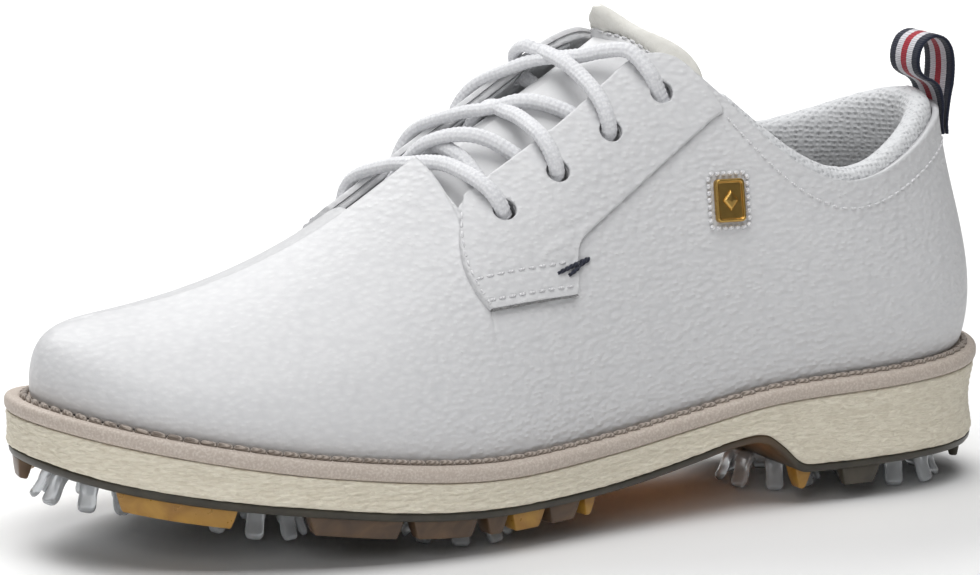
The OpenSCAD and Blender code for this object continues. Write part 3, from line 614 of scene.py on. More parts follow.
STIFFENER = granular("stiffener", (0.52, 0.47, 0.38), (0.42, 0.37, 0.3), 900)
BOARD = granular("fibre_board", (0.32, 0.22, 0.13), (0.24, 0.165, 0.1), 1200)
CORK = granular("cork", (0.27, 0.17, 0.09), (0.15, 0.09, 0.045), 700)
STEEL = brushed_steel()
AGLET = moulded("aglet_plastic", (0.75, 0.76, 0.78), (0.68, 0.69, 0.71), 0.2)


def finish_piece(obj, material, slot, *nodes):
    """Gives a piece its material and hides the CAD nodes that it stands for. The slot is not used."""
    obj.data.materials.clear()
    obj.data.materials.append(material)
    if nodes:
        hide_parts(*nodes)
    return obj


# CAD nodes that stay, most of them inside the shoe
for node, material in (("sole_filler", CORK), ("shank", STEEL), ("insole_board", BOARD),
                       ("spike_receptacles", SOCKET), ("toe_puff", STIFFENER), ("heel_counter", STIFFENER),
                       ("aglets", AGLET)):
    kept = frame["nodes"][node]
    kept.data.materials.clear()
    kept.data.materials.append(material)


# ---- upper ----
EYELETS = [(6.28, 0.624), (6.89, 0.632), (7.56, 0.654), (8.37, 0.765)]
EYELET_R = 2.9
THROAT = 5.9
CORNER = 9.34
FACING_TOP = [[5.78, 0.69], [5.97, 0.74], [6.4, 0.749], [7.09, 0.758], [7.7, 0.801], [8.38, 0.92],
              [8.8, 0.995], [9.1, 0.985], [9.34, 0.93]]
# How much lower the medial facing's upper edge lies
MEDIAL_DROP = [[5.78, 0], [7.09, 0], [7.7, 0.015], [8.38, 0.07], [8.8, 0.105], [9.1, 0.08], [9.34, 0]]
MEDIAL_THROAT = 5.12


def fold(t):
    """The lateral station that a station of either side matches."""
    t = np.asarray(t, float)
    return np.where(t > HEEL, np.interp(COUNT - t, MATCH[:, 1], MATCH[:, 0]), t)


def facing_top(t):
    return curve(FACING_TOP, fold(t)) - np.where(np.asarray(t) > HEEL, curve(MEDIAL_DROP, fold(t)), 0)


def leather_top(t):
    q = fold(t)
    last_open = np.where(np.asarray(t) > HEEL, 9.3, 8.8)
    return np.where((q > THROAT) & (q < last_open), facing_top(t) - 0.012, 1.0)


def half_columns():
    return np.concatenate([np.arange(0, 4.8, 0.06), np.arange(4.8, 6.12, 0.03), np.arange(6.12, 14, 0.06)])


def eyelet_cutters():
    """A peg through each eyelet, on both sides."""
    parts = []
    for side in (1, -1):
        for t, v in EYELETS:
            s = side_t(side, t)
            centre, n = last(s, v), last_normal(s, v)
            line = centre + n * np.linspace(-5, 5, 3)[:, None]
            across = np.broadcast_to(unit(np.cross(n, [0, 0, 1.0])), (3, 3))
            parts.append(tube(line, across, 2 * EYELET_R, 2 * EYELET_R, 24))
    return parts


EYELET_PEGS = eyelet_cutters()


def make_upper():
    lateral = half_columns()
    medial = (COUNT - lateral[1:])[::-1]
    ts = np.concatenate([lateral, [HEEL], medial])
    rows = 0.5 - 0.5 * np.cos(np.linspace(0, 1, 57) * math.pi)
    rows = 0.35 * rows + 0.65 * np.linspace(0, 1, 57)
    top = leather_top(ts)
    v = top[:, None] * rows[None, :]
    t = np.broadcast_to(ts[:, None], v.shape)
    # The foot of the leather turns in under the welt
    fold_in = 0.5 * np.exp(-v * 60)
    outer = skin(t, v, -fold_in)
    inner = skin(t, v, np.full(v.shape, -LEATHER_T))
    zipped = np.sum(lateral < MEDIAL_THROAT)
    for k in range(1, zipped):
        inner[k, -1] = inner[len(ts) - k, -1] = (inner[k, -1] + inner[len(ts) - k, -1]) / 2
    points, faces = plate_solid(outer, inner, ring=True)
    upper = new_object("upper", points, faces)
    weld(upper)
    for peg in EYELET_PEGS:
        cut(upper, *peg)
    return finish_piece(upper, LEATHER, "white_leather", "upper_shell")


make_upper()

# The facing in the plane of t and v: share of its length | lower edge t, v | upper edge t, v
FACING_FRONT = [
    [0.00, 5.89, 0.393, 5.93, 0.700], [0.04, 5.96, 0.388, 6.00, 0.741], [0.14, 6.30, 0.364, 6.33, 0.749],
    [0.27, 6.80, 0.328, 6.80, 0.754], [0.285, 6.85, 0.327, 6.86, 0.755], [0.31, 6.875, 0.362, 6.90, 0.756],
    [0.33, 6.89, 0.395, 6.92, 0.757], [0.345, 6.92, 0.420, 6.95, 0.757]]
# Further back the lower edge runs straight up to the collar: share | lower edge t, v
FACING_REAR = [
    [0.36, 6.97, 0.437], [0.38, 7.05, 0.4455], [0.43, 7.25, 0.458], [0.49, 7.5, 0.474], [0.55, 7.75, 0.495],
    [0.60, 7.95, 0.516], [0.66, 8.2, 0.553], [0.71, 8.4, 0.591], [0.76, 8.6, 0.638], [0.82, 8.8, 0.696],
    [0.87, 8.95, 0.747], [0.93, 9.15, 0.829], [0.97, 9.26, 0.876], [1.00, 9.34, 0.912]]
FACING = np.array(FACING_FRONT + [[a, t, v, t, float(curve(FACING_TOP, t))] for a, t, v in FACING_REAR])
FACING_FRONT_BULGE = 0.16
EDGE_ROUND = 0.85
# Distance of each stitch row from the facing's lower edge
STITCH_ROWS = (2.3, 8.0)


def facing_tv(a, b, side):
    """Lateral t, and v, at a share a along a side's facing and b up it."""
    low_t, low_v, top_t, top_v = (np.interp(a, FACING[:, 0], FACING[:, k]) for k in range(1, 5))
    if side < 0:
        top_v = top_v - curve(MEDIAL_DROP, top_t)
    t = low_t + (top_t - low_t) * b
    v = low_v + (top_v - low_v) * b
    front = np.clip(1 - a / 0.25, 0, 1)**2
    return t - FACING_FRONT_BULGE * front * np.sin(math.pi * np.clip(b * 1.02, 0, 1))**0.8, v


def creased(t, v, side):
    """Soft flex creases above the bartack, and slack in the leather between the eyelets."""
    near = np.exp(-((t - 6.75) / 0.28)**2 - ((v - 0.47) / 0.035)**2)
    wave = near * np.sin((v - 0.44) * 95 + (t - 6.7) * 2.5)
    slack = np.exp(-((t - 7.2) / 0.7)**2 - ((v - 0.6) / 0.1)**2)
    return 0.32 * wave + (0.25 if side > 0 else 0.2) * slack


def clustered(n, ends=0.5):
    u = np.linspace(0, 1, n)
    return ends * (0.5 - 0.5 * np.cos(u * math.pi)) + (1 - ends) * u


def make_facing(side, name):
    a, b = np.meshgrid(clustered(150, 0.4), clustered(60, 0.75), indexing="ij")
    t, v = facing_tv(a, b, side)
    s = side_t(side, t)
    base = last(s, v)
    up_run, on_run = run_along(base, 1), run_along(base, 0)
    folded = np.minimum.reduce([up_run[:, -1:] - up_run, on_run, on_run[-1:] - on_run,
                                up_run + np.where(a < 0.3, 5.0, 0.0)])
    raw = np.where(a < 0.3, up_run, 9.0)
    round_off = np.sqrt(1 - (1 - np.clip(folded / EDGE_ROUND, 0, 1))**2)
    raw_off = np.sqrt(1 - (1 - np.clip(raw / 0.3, 0, 1))**2)
    height = FACING_T * round_off * (0.25 + 0.75 * raw_off)
    # The channel of each stitch row presses the leather down a little
    channel = sum(0.16 * np.exp(-((up_run - row) / 0.55)**2) for row in STITCH_ROWS) * (a < 0.29)
    outer = skin(s, v, GAP + height + (creased(t, v, side) - channel) * np.clip(folded / 3, 0, 1))
    inner = skin(s, v, np.full(v.shape, GAP * 0.5))
    if side < 0:
        outer, inner = outer[::-1], inner[::-1]
    points, faces = plate_solid(outer, inner)
    facing = new_object(name, points, faces)
    weld(facing, 2e-6)
    for peg in (EYELET_PEGS[:4] if side > 0 else EYELET_PEGS[4:]):
        cut(facing, *peg)
    return finish_piece(facing, LEATHER, "white_leather",
                        "eyestay_lateral" if side > 0 else "eyestay_medial")


def make_edge_shade(side, name):
    """A dark strip along the cut lower edge of the facing: painted shade that stands in for the thin shadow
    line under the edge.
    """
    a = np.linspace(0.0, 0.283, 70)
    t, v = facing_tv(a, np.zeros_like(a), side)
    s = side_t(side, t)
    p = skin(s, v, np.full(len(a), GAP + FACING_T * 0.48))
    edge_down = unit(last(s, v - 0.01) - last(s, v))
    points, faces = tube(p + 0.12 * edge_down, edge_down, FACING_T * 1.02, 0.4, 10, 0.6)
    return finish_piece(new_object(name, points, faces), EDGE_SHADE, "white_leather")


def on_side(side, path):
    return [(float(side_t(side, t)), v) for t, v in path]


def facing_path(side, a_values, inset_mm):
    """A line a fixed distance inside the facing's lower edge."""
    path = []
    for a in a_values:
        t0, v0 = facing_tv(np.array(a), np.array(0.0), side)
        t1, v1 = facing_tv(np.array(a), np.array(0.2), side)
        step = np.linalg.norm(last(side_t(side, t1), v1) - last(side_t(side, t0), v0))
        share = 0.2 * inset_mm / step
        t, v = facing_tv(np.array(a), np.array(share), side)
        path.append((float(side_t(side, t)), float(v)))
    return path


STITCH = dict(length=1.75, gap=0.75, thick=0.62)
BARTACK_PLY = 0.74
BARTACK_PITCH = 2.6


def make_facing_stitches(side, name, node):
    lift = GAP + FACING_T + 0.12
    a_line = np.linspace(0.012, 0.275, 12)
    rows = [facing_path(side, a_line, STITCH_ROWS[0]),
            facing_path(side, np.linspace(0.012, 0.262, 12), STITCH_ROWS[1])]
    front = []
    for b in np.linspace(0.03, 0.93, 12):
        t, v = facing_tv(np.array(0.014), np.array(b), side)
        front.append((float(side_t(side, t)), float(v)))
    rows.append(front)
    parts = [stitches(*surface_row(row, lift), **STITCH, sink=0.05) for row in rows]
    return finish_piece(new_object(name, *join(parts)), WHITE_THREAD, "white_thread", node)


def make_bartack(side, name, node):
    """Two thick twisted threads that meet across the corner of the facing."""
    parts = []
    for start in ((6.64, 0.397), (6.76, 0.379)):
        path = [start, (start[0] / 2 + 3.53, start[1] / 2 + 0.197), (7.06, 0.391)]
        p, n = surface_row(on_side(side, path), 0.0, 0.2)
        share = np.linspace(0, 1, len(p))
        t = start[0] + (path[-1][0] - start[0]) * share
        lift = GAP + FACING_T * np.clip((6.92 - t) / 0.06, 0, 1) + 0.42 - 0.6 * np.abs(2 * share - 1)**10
        across = unit(np.cross(np.gradient(p, axis=0), n))
        for ply in (0, 1):
            turn = np.arange(len(p)) * 0.2 * 2 * math.pi / BARTACK_PITCH + ply * math.pi
            line = p + n * (lift + 0.2 * np.sin(turn))[:, None] + across * (0.2 * np.cos(turn))[:, None]
            size = BARTACK_PLY * np.sqrt(np.clip(1 - np.abs(2 * share - 1)**14, 0.08, 1))
            parts.append(tube(line, n, size, size, 10))
    return finish_piece(new_object(name, *join(parts)), NAVY_THREAD, "navy_thread", node)


for side, word in ((1, "lateral"), (-1, "medial")):
    make_facing(side, "facing_" + word)
    make_edge_shade(side, "facing_edge_" + word)
    make_facing_stitches(side, "facing_stitches_" + word, "eyestay_thread_" + word)
    make_bartack(side, "bar_stitch_" + word, "bartack_" + word)

# ---- linings ----


def make_lining():
    """Woven lining of the vamp and quarters, just inside the leather."""
    lateral = np.arange(0.3, 14, 0.15)
    ts = np.concatenate([lateral, [HEEL], (COUNT - lateral)[::-1]])
    rows = np.linspace(0, 1, 30)
    q = fold(ts)
    top = np.where(q < 5.6, 0.94, np.where(q < 8.9, facing_top(ts) - 0.03, 0.72))
    v = 0.02 + (top[:, None] - 0.02) * rows
    t = np.broadcast_to(ts[:, None], v.shape)
    deep = np.where(q < 5.6, -2.85, -1.75)
    deep = np.convolve(np.pad(deep, 4, mode="edge"), np.ones(9) / 9, "valid")[:, None]
    outer = skin(t, v, np.broadcast_to(deep, v.shape))
    inner = skin(t, v, np.broadcast_to(deep - 0.65, v.shape))
    lining = new_object("lining", *plate_solid(outer, inner))
    for peg in EYELET_PEGS:
        cut(lining, *peg)
    return finish_piece(lining, LINING, "lining_fabric", "vamp_lining", "quarter_lining_lateral",
                        "quarter_lining_medial")


make_lining()

# Section of the padded collar: distance past the leather's edge along the ray, distance from the last
COLLAR_SECTION = [
    (-3.2, -1.85), (-1, -1.72), (0.6, -1.62), (1.7, -1.75), (2.8, -2.4), (3.6, -3.5), (3.9, -4.9),
    (3.7, -6.4), (2.9, -7.7), (1.4, -8.6), (-0.8, -9.1), (-4, -9.5), (-8, -9.4), (-13, -8.5),
    (-18, -7.2), (-24, -5.6), (-30, -4.7), (-35, -4.0), (-36, -3.4), (-34, -2.95), (-28, -2.8),
    (-22, -2.4), (-16, -2.2), (-10, -2.0), (-6, -1.95)]


def collar_ring(ts, section, shrink=0.0):
    """A closed section swept round the collar."""
    sec = np.array(section, float)
    middle = np.array([-6, -5.4])
    sec = sec - shrink * unit(sec - middle)
    length = ray_length(ts) * 1.05
    v = 1 + sec[None, :, 0] / length[:, None]
    t = np.broadcast_to(ts[:, None], v.shape)
    return skin(t, v, np.broadcast_to(sec[None, :, 1], v.shape))


def smooth_section(section, n):
    p = np.array(list(section) + [section[0]], float)
    step = np.linalg.norm(np.diff(p, axis=0), axis=1).sum() / n
    return along_path(np.column_stack([p, np.zeros(len(p))]), step)[:-1, :2]


def swell(obj, voxel_mm, pressure, cap_mm, frames=20):
    """Puffs a padded piece with a short cloth simulation: remesh, inflate, cap the movement, apply."""
    remesh = obj.modifiers.new("remesh", "REMESH")
    remesh.mode = "VOXEL"
    remesh.voxel_size = voxel_mm * SCALE
    bake(obj)
    start = np.array([v.co for v in obj.data.vertices])
    cloth = obj.modifiers.new("cloth", "CLOTH")
    cloth.settings.quality = 4
    cloth.settings.mass = 0.15
    cloth.settings.use_pressure = True
    cloth.settings.uniform_pressure_force = pressure
    cloth.settings.tension_stiffness = 25
    cloth.settings.compression_stiffness = 25
    cloth.settings.bending_stiffness = 0.3
    cloth.settings.effector_weights.gravity = 0
    cloth.point_cache.frame_start = 1
    cloth.point_cache.frame_end = frames
    for k in range(1, frames + 1):
        bpy.context.scene.frame_set(k)
    bake(obj)
    bpy.context.scene.frame_set(1)
    moved = np.array([v.co for v in obj.data.vertices])
    step = moved - start
    size = np.linalg.norm(step, axis=1, keepdims=True)
    cap = cap_mm * SCALE
    moved = start + step * np.minimum(1, cap / np.maximum(size, 1e-9))
    obj.data.vertices.foreach_set("co", moved.ravel())
    smooth = obj.modifiers.new("smooth", "SMOOTH")
    smooth.factor = 0.5
    smooth.iterations = 3
    subdivide = obj.modifiers.new("subdivide", "SUBSURF")
    subdivide.levels = 1
    subdivide.render_levels = 1
    bake(obj)


def make_collar():
    ts = np.linspace(CORNER + 0.01, side_t(-1, CORNER) - 0.01, 170)
    section = smooth_section(COLLAR_SECTION, 72)
    collar = new_object("collar", *swept(collar_ring(ts, section, 0.25)))
    swell(collar, 1.5, 4.0, 0.55)
    finish_piece(collar, COLLAR_MESH, "collar_mesh", "collar_lining", "collar_foam")
    return collar


make_collar()


# The stitch row stops on both sides of the pull tab
TAB_GAP = (13.5, 14.52)


def make_collar_seam():
    """The stitches that hold the collar's roll to the edge of the leather."""
    rows = []
    for first, last_t in ((CORNER + 0.02, TAB_GAP[0]), (TAB_GAP[1], side_t(-1, CORNER) - 0.02)):
        ts = np.linspace(first, last_t, 110)
        v = 1 - 6.5 / ray_length(ts)
        rows.append(stitches(skin(ts, v, np.full(len(ts), 0.12)), last_normal(ts, v), **STITCH, sink=0.02))
    seam = new_object("collar_stitches", *join(rows))
    return finish_piece(seam, WHITE_THREAD, "white_thread", "collar_thread")


make_collar_seam()

# ---- tongue: an arch below the facings that rises through the gap between them ----
TONGUE_SPAN = 0.36
TONGUE_O = -5.9
TONGUE_FRONT = 4.1
TONGUE_RISE = (7.3, 9.35)
# Top edge of the tongue's outer face: place across, x, y, z
TONGUE_TOP = np.array([
    [-1, 97, -12, 103], [-0.7, 100.5, -11.5, 110.5], [-0.5, 104.8, -10.4, 117], [-0.35, 106.6, -8.8, 120.6],
    [-0.1, 102, -4.5, 118.2], [0.15, 97, 2.5, 115.6], [0.4, 92.2, 8.5, 112.8], [0.6, 88.8, 12.2, 109],
    [0.8, 87.6, 15, 104.2], [1, 87.6, 16.8, 98]])


def tongue_arch(t, u):
    low = TONGUE_O + 2.6 * np.maximum(0, 4.7 - t)
    reach = 1 - np.abs(u) * TONGUE_SPAN
    share = np.clip(0.5 + u / 0.3, 0, 1)[..., None]
    share = share * share * (3 - 2 * share)
    return skin(COUNT - t, reach, low) * (1 - share) + skin(t, reach, low) * share


def tongue_face(t, u):
    """A point of the outer face: t up the tongue's length, u from -1 (medial) to 1 across."""
    t, u = np.broadcast_arrays(np.asarray(t, float), np.asarray(u, float))
    edge = np.stack([curve(TONGUE_TOP[:, [0, k]], u) for k in (1, 2, 3)], -1)
    w = np.clip((t - TONGUE_RISE[0]) / (TONGUE_RISE[1] - TONGUE_RISE[0]), 0, 1)[..., None]**1.35
    return tongue_arch(np.minimum(t, 8.2), u) * (1 - w) + edge * w


def tongue_point(t, u, o):
    """A point at a distance o outside the tongue's outer face."""
    e = 0.04
    across = tongue_face(t, u + e) - tongue_face(t, u - e)
    n = unit(np.cross(across, tongue_face(t + e, u) - tongue_face(t - e, u)))
    return tongue_face(t, u) + np.asarray(o, float)[..., None] * n


def pillow(t0, t1, nt, nu, o_in, o_out, span, round_mm, crown):
    """A padded piece of the tongue, with rounded edges and a crowned face."""
    t, u = np.meshgrid(t0 + (t1 - t0) * clustered(nt, 0.6), -span + 2 * span * clustered(nu, 0.6),
                       indexing="ij")
    base = tongue_face(t, u)
    along_t, along_u = run_along(base, 0), run_along(base, 1)
    edge = np.minimum.reduce([along_t, along_t[-1:] - along_t, along_u, along_u[:, -1:] - along_u])
    puff = 0.06 + 0.94 * np.sqrt(np.clip(1 - (1 - np.clip(edge / round_mm, 0, 1))**2, 0.0, 1))
    half = (o_out - o_in) / 2
    bulge = crown * (1 - (u / span)**2) * np.clip(edge / (3 * round_mm), 0, 1)
    middle = (o_in + o_out) / 2
    outer = tongue_point(t, u, middle + half * puff + bulge)
    inner = tongue_point(t, u, middle - half * puff)
    points, faces = plate_solid(outer, inner)
    return points, [f[::-1] for f in faces]


def make_tongue():
    tongue = new_object("tongue_panel", *pillow(TONGUE_FRONT, 8.62, 130, 70, -4.4, 0, 1.0, 1.2, 0.3))
    weld(tongue, 2e-6)
    finish_piece(tongue, TONGUE_LEATHER, "tongue_leather", "tongue", "tongue_foam")
    band = new_object("tongue_band", *pillow(8.57, 9.35, 36, 90, -3.6, 0.35, 1.0, 1.5, 0.2))
    weld(band, 2e-6)
    swell(band, 0.8, 3.0, 0.4)
    finish_piece(band, IVORY, "ivory_fabric", "tongue_top_band")
    u = np.linspace(-0.93, 0.93, 120)
    t = np.full(len(u), 8.54)
    p = tongue_point(t, u, np.full(len(u), 0.25))
    n = unit(tongue_point(t, u, np.full(len(u), 1.0)) - p)
    row = stitches(p, n, 1.7, 0.9, 0.55)
    finish_piece(new_object("tongue_stitches", *row), WHITE_THREAD, "white_thread")


make_tongue()

# ---- badge: a bevelled frame and a plain diamond, inside a ring of small knots ----
BADGE = (9.15, 0.551)
BADGE_KNOTS = 27
badge_n = last_normal(*BADGE)
badge_x = unit(np.cross([0, 0, 1.0], badge_n))
badge_y = np.cross(badge_n, badge_x)
badge_o = last(*BADGE)


def on_badge(x, y, z):
    return badge_o + x[..., None] * badge_x + y[..., None] * badge_y + z[..., None] * badge_n


def rounded_ring(w, h, r, n=10):
    """Corner-rounded outline, counter-clockwise."""
    a = np.linspace(0, math.pi / 2, n)
    points = []
    for k, (sx, sy) in enumerate(((1, 1), (-1, 1), (-1, -1), (1, -1))):
        turn = a + k * math.pi / 2
        points.append(np.stack([sx * (w / 2 - r) + r * np.cos(turn), sy * (h / 2 - r) + r * np.sin(turn)], 1))
    return np.concatenate(points)


def terraces(outlines, heights):
    """A solid stepped through outlines of the same number of points, closed at both ends."""
    rings = [on_badge(o[:, 0], o[:, 1], np.full(len(o), z)) for o, z in zip(outlines, heights)]
    return swept(np.stack(rings))


def make_badge():
    sizes = [(7.5, 10.3, 1.1), (7.7, 10.5, 1.2), (7.6, 10.4, 1.15), (7.2, 10.0, 1.0), (6.5, 9.3, 0.8),
             (6.1, 8.9, 0.7), (5.9, 8.7, 0.6)]
    body = terraces([rounded_ring(*s) for s in sizes], [0.2, 0.45, 1.55, 1.9, 1.95, 1.7, 1.35])
    turn = np.arange(4) * math.pi / 2
    gem = [np.stack([r * 0.8 * np.cos(turn), r * np.sin(turn)], 1) for r in (2.5, 2.5, 1.9, 0.5)]
    diamond = terraces(gem, [1.3, 1.6, 1.95, 2.15])
    badge = new_object("badge_plate", *join([body, diamond]), smooth=False)
    bevel(badge, 0.12, 2, 30)
    badge.data.polygons.foreach_set("use_smooth", [False] * len(badge.data.polygons))
    finish_piece(badge, GOLD, "gold_metal", "badge")
    knots = []
    knot_line = rounded_ring(10.2, 13.0, 1.0)
    knot_line = np.concatenate([knot_line, knot_line[:1]])
    length = run_along(knot_line)
    for s in np.linspace(0, length[-1], BADGE_KNOTS, endpoint=False):
        here, ahead = (np.array([np.interp(q % length[-1], length, knot_line[:, k]) for k in (0, 1)])
                       for q in (s, s + 0.1))
        way = unit(ahead - here)[:, None] * 0.62 * np.linspace(-1, 1, 7)
        line = on_badge(here[0] + way[0], here[1] + way[1], np.full(7, 0.42))
        size = 1.15 * np.sqrt(np.clip(1 - 0.9 * np.linspace(-1, 1, 7)**4, 0.05, 1))
        knots.append(tube(line, np.broadcast_to(badge_n, (7, 3)), size, size * 0.85, 10))
    finish_piece(new_object("badge_knots", *join(knots)), WHITE_THREAD, "white_thread", "badge_thread")


make_badge()

# ---- lace: the CAD route, made round and braided ----
LACE_W = 3.9
LACE_H = 3.0
LACE_OVER = FACING_T + GAP + 0.1 + 1.4
LACE_UNDER = -3.9
LACE_HOLE = -0.5
LACE_STEP = 0.27
LACE_SIDES = 40
YARNS = 5
YARN_PITCH = 2.7
YARN_RELIEF = 0.13
CROSSINGS = [(-1, 3, 1, 1, 2, 1, -0.2), (1, 2, -1, -1, 1, 1, -3.2), (-1, 1, -1, 1, 0, -1, -3.2),
             (1, 0, 1, -1, 0, 1, -1.6), (-1, 0, -1, 1, 1, -1, -0.6), (1, 1, 1, -1, 2, -1, -3.4),
             (-1, 2, 1, 1, 3, 1, -1.2)]


def lift(way):
    return LACE_OVER if way > 0 else LACE_UNDER


def from_toe(side, t):
    """A side's own station that matches lateral station t, counted from the toe."""
    return float(t if side > 0 else COUNT - side_t(-1, t))


def crossing(side_a, ia, way_a, side_b, ib, way_b, mid):
    a, b = EYELETS[ia], EYELETS[ib]
    start, end = from_toe(side_a, a[0]), from_toe(side_b, b[0])
    rows = [(side_a, 0, a[1], LACE_HOLE), (side_a, 0.07, a[1] + 0.045, lift(way_a)),
            (side_a, 0.16, a[1] + 0.115, lift(way_a)),
            (side_a, 0.3, max(0.87, a[1] + 0.155), (lift(way_a) + mid * 2) / 3),
            (side_a, 0.42, 0.955, mid), (side_b, 0.58, 0.955, mid),
            (side_b, 0.7, max(0.87, b[1] + 0.155), (lift(way_b) + mid * 2) / 3),
            (side_b, 0.84, b[1] + 0.115, lift(way_b)),
            (side_b, 0.93, b[1] + 0.045, lift(way_b))]
    return [(t if s > 0 else COUNT - t, v, o) for s, t, v, o in
            [(s, start + (end - start) * share, v, o) for s, share, v, o in rows]]


def lace_tail(side):
    t, v = EYELETS[3]
    return [(float(side_t(side, t + dt)), v + dv, o)
            for dt, dv, o in ((0.42, -0.2, -4.9), (0.28, -0.12, -4.6), (0.14, -0.05, -4.2))]


def make_lace():
    route = lace_tail(-1)
    for c in CROSSINGS:
        route += crossing(*c)
    route += [(float(side_t(1, EYELETS[3][0])), EYELETS[3][1], LACE_HOLE)] + lace_tail(1)[::-1]
    t, v, o = np.array(route).T
    way = np.concatenate([skin(t, v, o), last_normal(t, v)], 1)
    path = along_path(way, LACE_STEP)
    p, n = path[:, :3], unit(path[:, 3:])
    points, faces = tube(p, n, LACE_W, LACE_H, LACE_SIDES)
    # Two families of yarns cross round the cord and leave a lattice of small lozenges
    run = np.arange(len(p))[:, None] * LACE_STEP * 2 * math.pi / YARN_PITCH
    angle = np.arange(LACE_SIDES)[None, :] * 2 * math.pi / LACE_SIDES * YARNS
    relief = YARN_RELIEF * np.cos(angle + run) * np.cos(angle - run)
    spread = unit(points - np.repeat(p, LACE_SIDES, 0))
    points = points + spread * relief.reshape(-1, 1)
    lace = new_object("lace_braid", points, faces)
    return finish_piece(lace, LACE_BRAID, "lace_cord", "lace")


make_lace()

# ---- pull tab ----
# Centre line of the ribbon loop: x, z
TAB_LINE = [
    (11.1, 84.5), (11.6, 88), (12, 91.5), (12.7, 94), (13.9, 96.3), (15.7, 97.9), (17.8, 98.9), (19.5, 100.2),
    (20.3, 102), (20.4, 104), (19.9, 106.2), (18.5, 108.3), (15.6, 109.4), (12.6, 108.4), (10.8, 106),
    (10.1, 103), (10, 100), (10.2, 97), (10.4, 93.5), (10.3, 89), (9.9, 84.5)]
TAB_FLAT_Z = 97
TAB_WRAP = 1 / 30
TAB_Y = -1
RIBBON_W = 13.5
RIBBON_T = 0.9


def make_pull_tab():
    line = along_path([(x, 0, z) for x, z in TAB_LINE], 0.35)
    d = unit(np.gradient(line, axis=0))
    n = np.stack([-d[:, 2], np.zeros(len(d)), d[:, 0]], 1)
    k = np.linspace(-1, 1, 41)
    rib = 0.05 * np.cos(np.arange(len(line)) * 0.35 / 0.9 * 2 * math.pi)

    def face(sign):
        edge = np.sqrt(np.clip(1 - np.abs(k)**24, 0.02, 1))[None, :]
        o = sign * (RIBBON_T / 2 * edge + rib[:, None] * edge)
        y = k * RIBBON_W / 2
        p = line[:, None, :] + n[:, None, :] * o[..., None]
        wrap = TAB_WRAP * np.clip((TAB_FLAT_Z - p[..., 2]) / 10, 0, 1)
        p[..., 0] += wrap * y[None, :]**2
        p[..., 1] = TAB_Y + y[None, :]
        return p

    tab = new_object("ribbon_loop", *plate_solid(face(1), face(-1)), body="pull_tab")
    return finish_piece(tab, RIBBON, "ribbon", "pull_tab")


make_pull_tab()

# ---- sole ----


def round_stations(n):
    """n stations, evenly spread round the sole."""
    return np.arange(n) * COUNT / n


def ladder_caps(nc, flip):
    """Faces that close a ring of nc points, straight across from side to side."""
    faces = []
    for i in range(nc // 2):
        quad = list(dict.fromkeys([i, (i + 1) % nc, (nc - i - 1) % nc, (nc - i) % nc]))
        if len(quad) > 2:
            faces.append(quad[::-1] if flip else quad)
    return faces


def capped(grid):
    """Points and faces of columns of points round the sole, closed underneath and on top."""
    nc, nr = grid.shape[:2]
    faces = quads(nc, nr, ring=True)
    faces += [[q * nr for q in face] for face in ladder_caps(nc, flip=True)]
    faces += [[q * nr + nr - 1 for q in face] for face in ladder_caps(nc, flip=False)]
    return grid.reshape(-1, 3), faces


# Spacing of the two families of ridges in the crepe foam
BROAD_RIDGE = 1.55
FINE_RIDGE = 0.9


def crinkle(grid, t, depth):
    """Presses the wavy horizontal ridges of crepe foam into the side of a layer."""
    z, s = grid[..., 2], run_along(grid[:, 0, :2])[:, None]
    broad = 1.7 * np.sin(s * 0.42 + 1.3 * np.sin(s * 0.11)) + np.sin(s * 0.9)
    fine = 1.1 * np.sin(s * 1.3 + z) - 2.2 * np.sin(s * 0.31 + 2)
    ridge = (np.sin(2 * math.pi * z / BROAD_RIDGE + broad)
             + 0.6 * np.sin(2 * math.pi * z / FINE_RIDGE + fine))
    out = np.column_stack([outward(t), np.zeros(len(t))])
    return grid + out[:, None, :] * (depth * ridge)[..., None]


def slab(profile, n, z_low, z_high, crepe=0.0):
    """A layer of the sole: the outline swept through (height share, outset) rows, with flat caps.

    The rows go up the side. Heights are between z_low(x) and z_high(x).
    """
    t = round_stations(n)
    rings = []
    for share, o in profile:
        xy = edge_point(t, o(t) if callable(o) else o)
        low, high = z_low(xy[:, 0]), z_high(xy[:, 0])
        rings.append(np.column_stack([xy, low + (high - low) * share]))
    grid = np.stack(rings, 1)
    return capped(crinkle(grid, t, crepe) if crepe else grid)


def underside(x):
    return curve(UNDERSIDE, x)


def feather(x):
    return curve(FEATHER, x)


def heel_hollow(depth):
    """The foam's side is hollow round the heel and nearly straight along the forefoot."""
    return lambda t: -depth * (0.25 + 0.75 * np.exp(-((t - HEEL) / 2.6)**2))


def make_midsole():
    rows = np.linspace(0, 1, 30)
    profile = [(-0.0, -2.2)]
    for s in rows:
        lip = -0.8 * np.exp(-s * 22) - 0.5 * np.exp(-(1 - s) * 22)
        hollow = math.sin(math.pi * s)
        profile.append((s, lambda t, h=hollow, e=lip: e + heel_hollow(1.5 * h)(t)))
    profile.append((1.0, -2.2))
    midsole = new_object("midsole_foam", *slab(profile, 1100, lambda x: underside(x) + 0.02,
                                               lambda x: feather(x) - WELT_T - 0.05, 0.11))
    return finish_piece(midsole, FOAM_CREPE, "midsole_foam", "midsole")


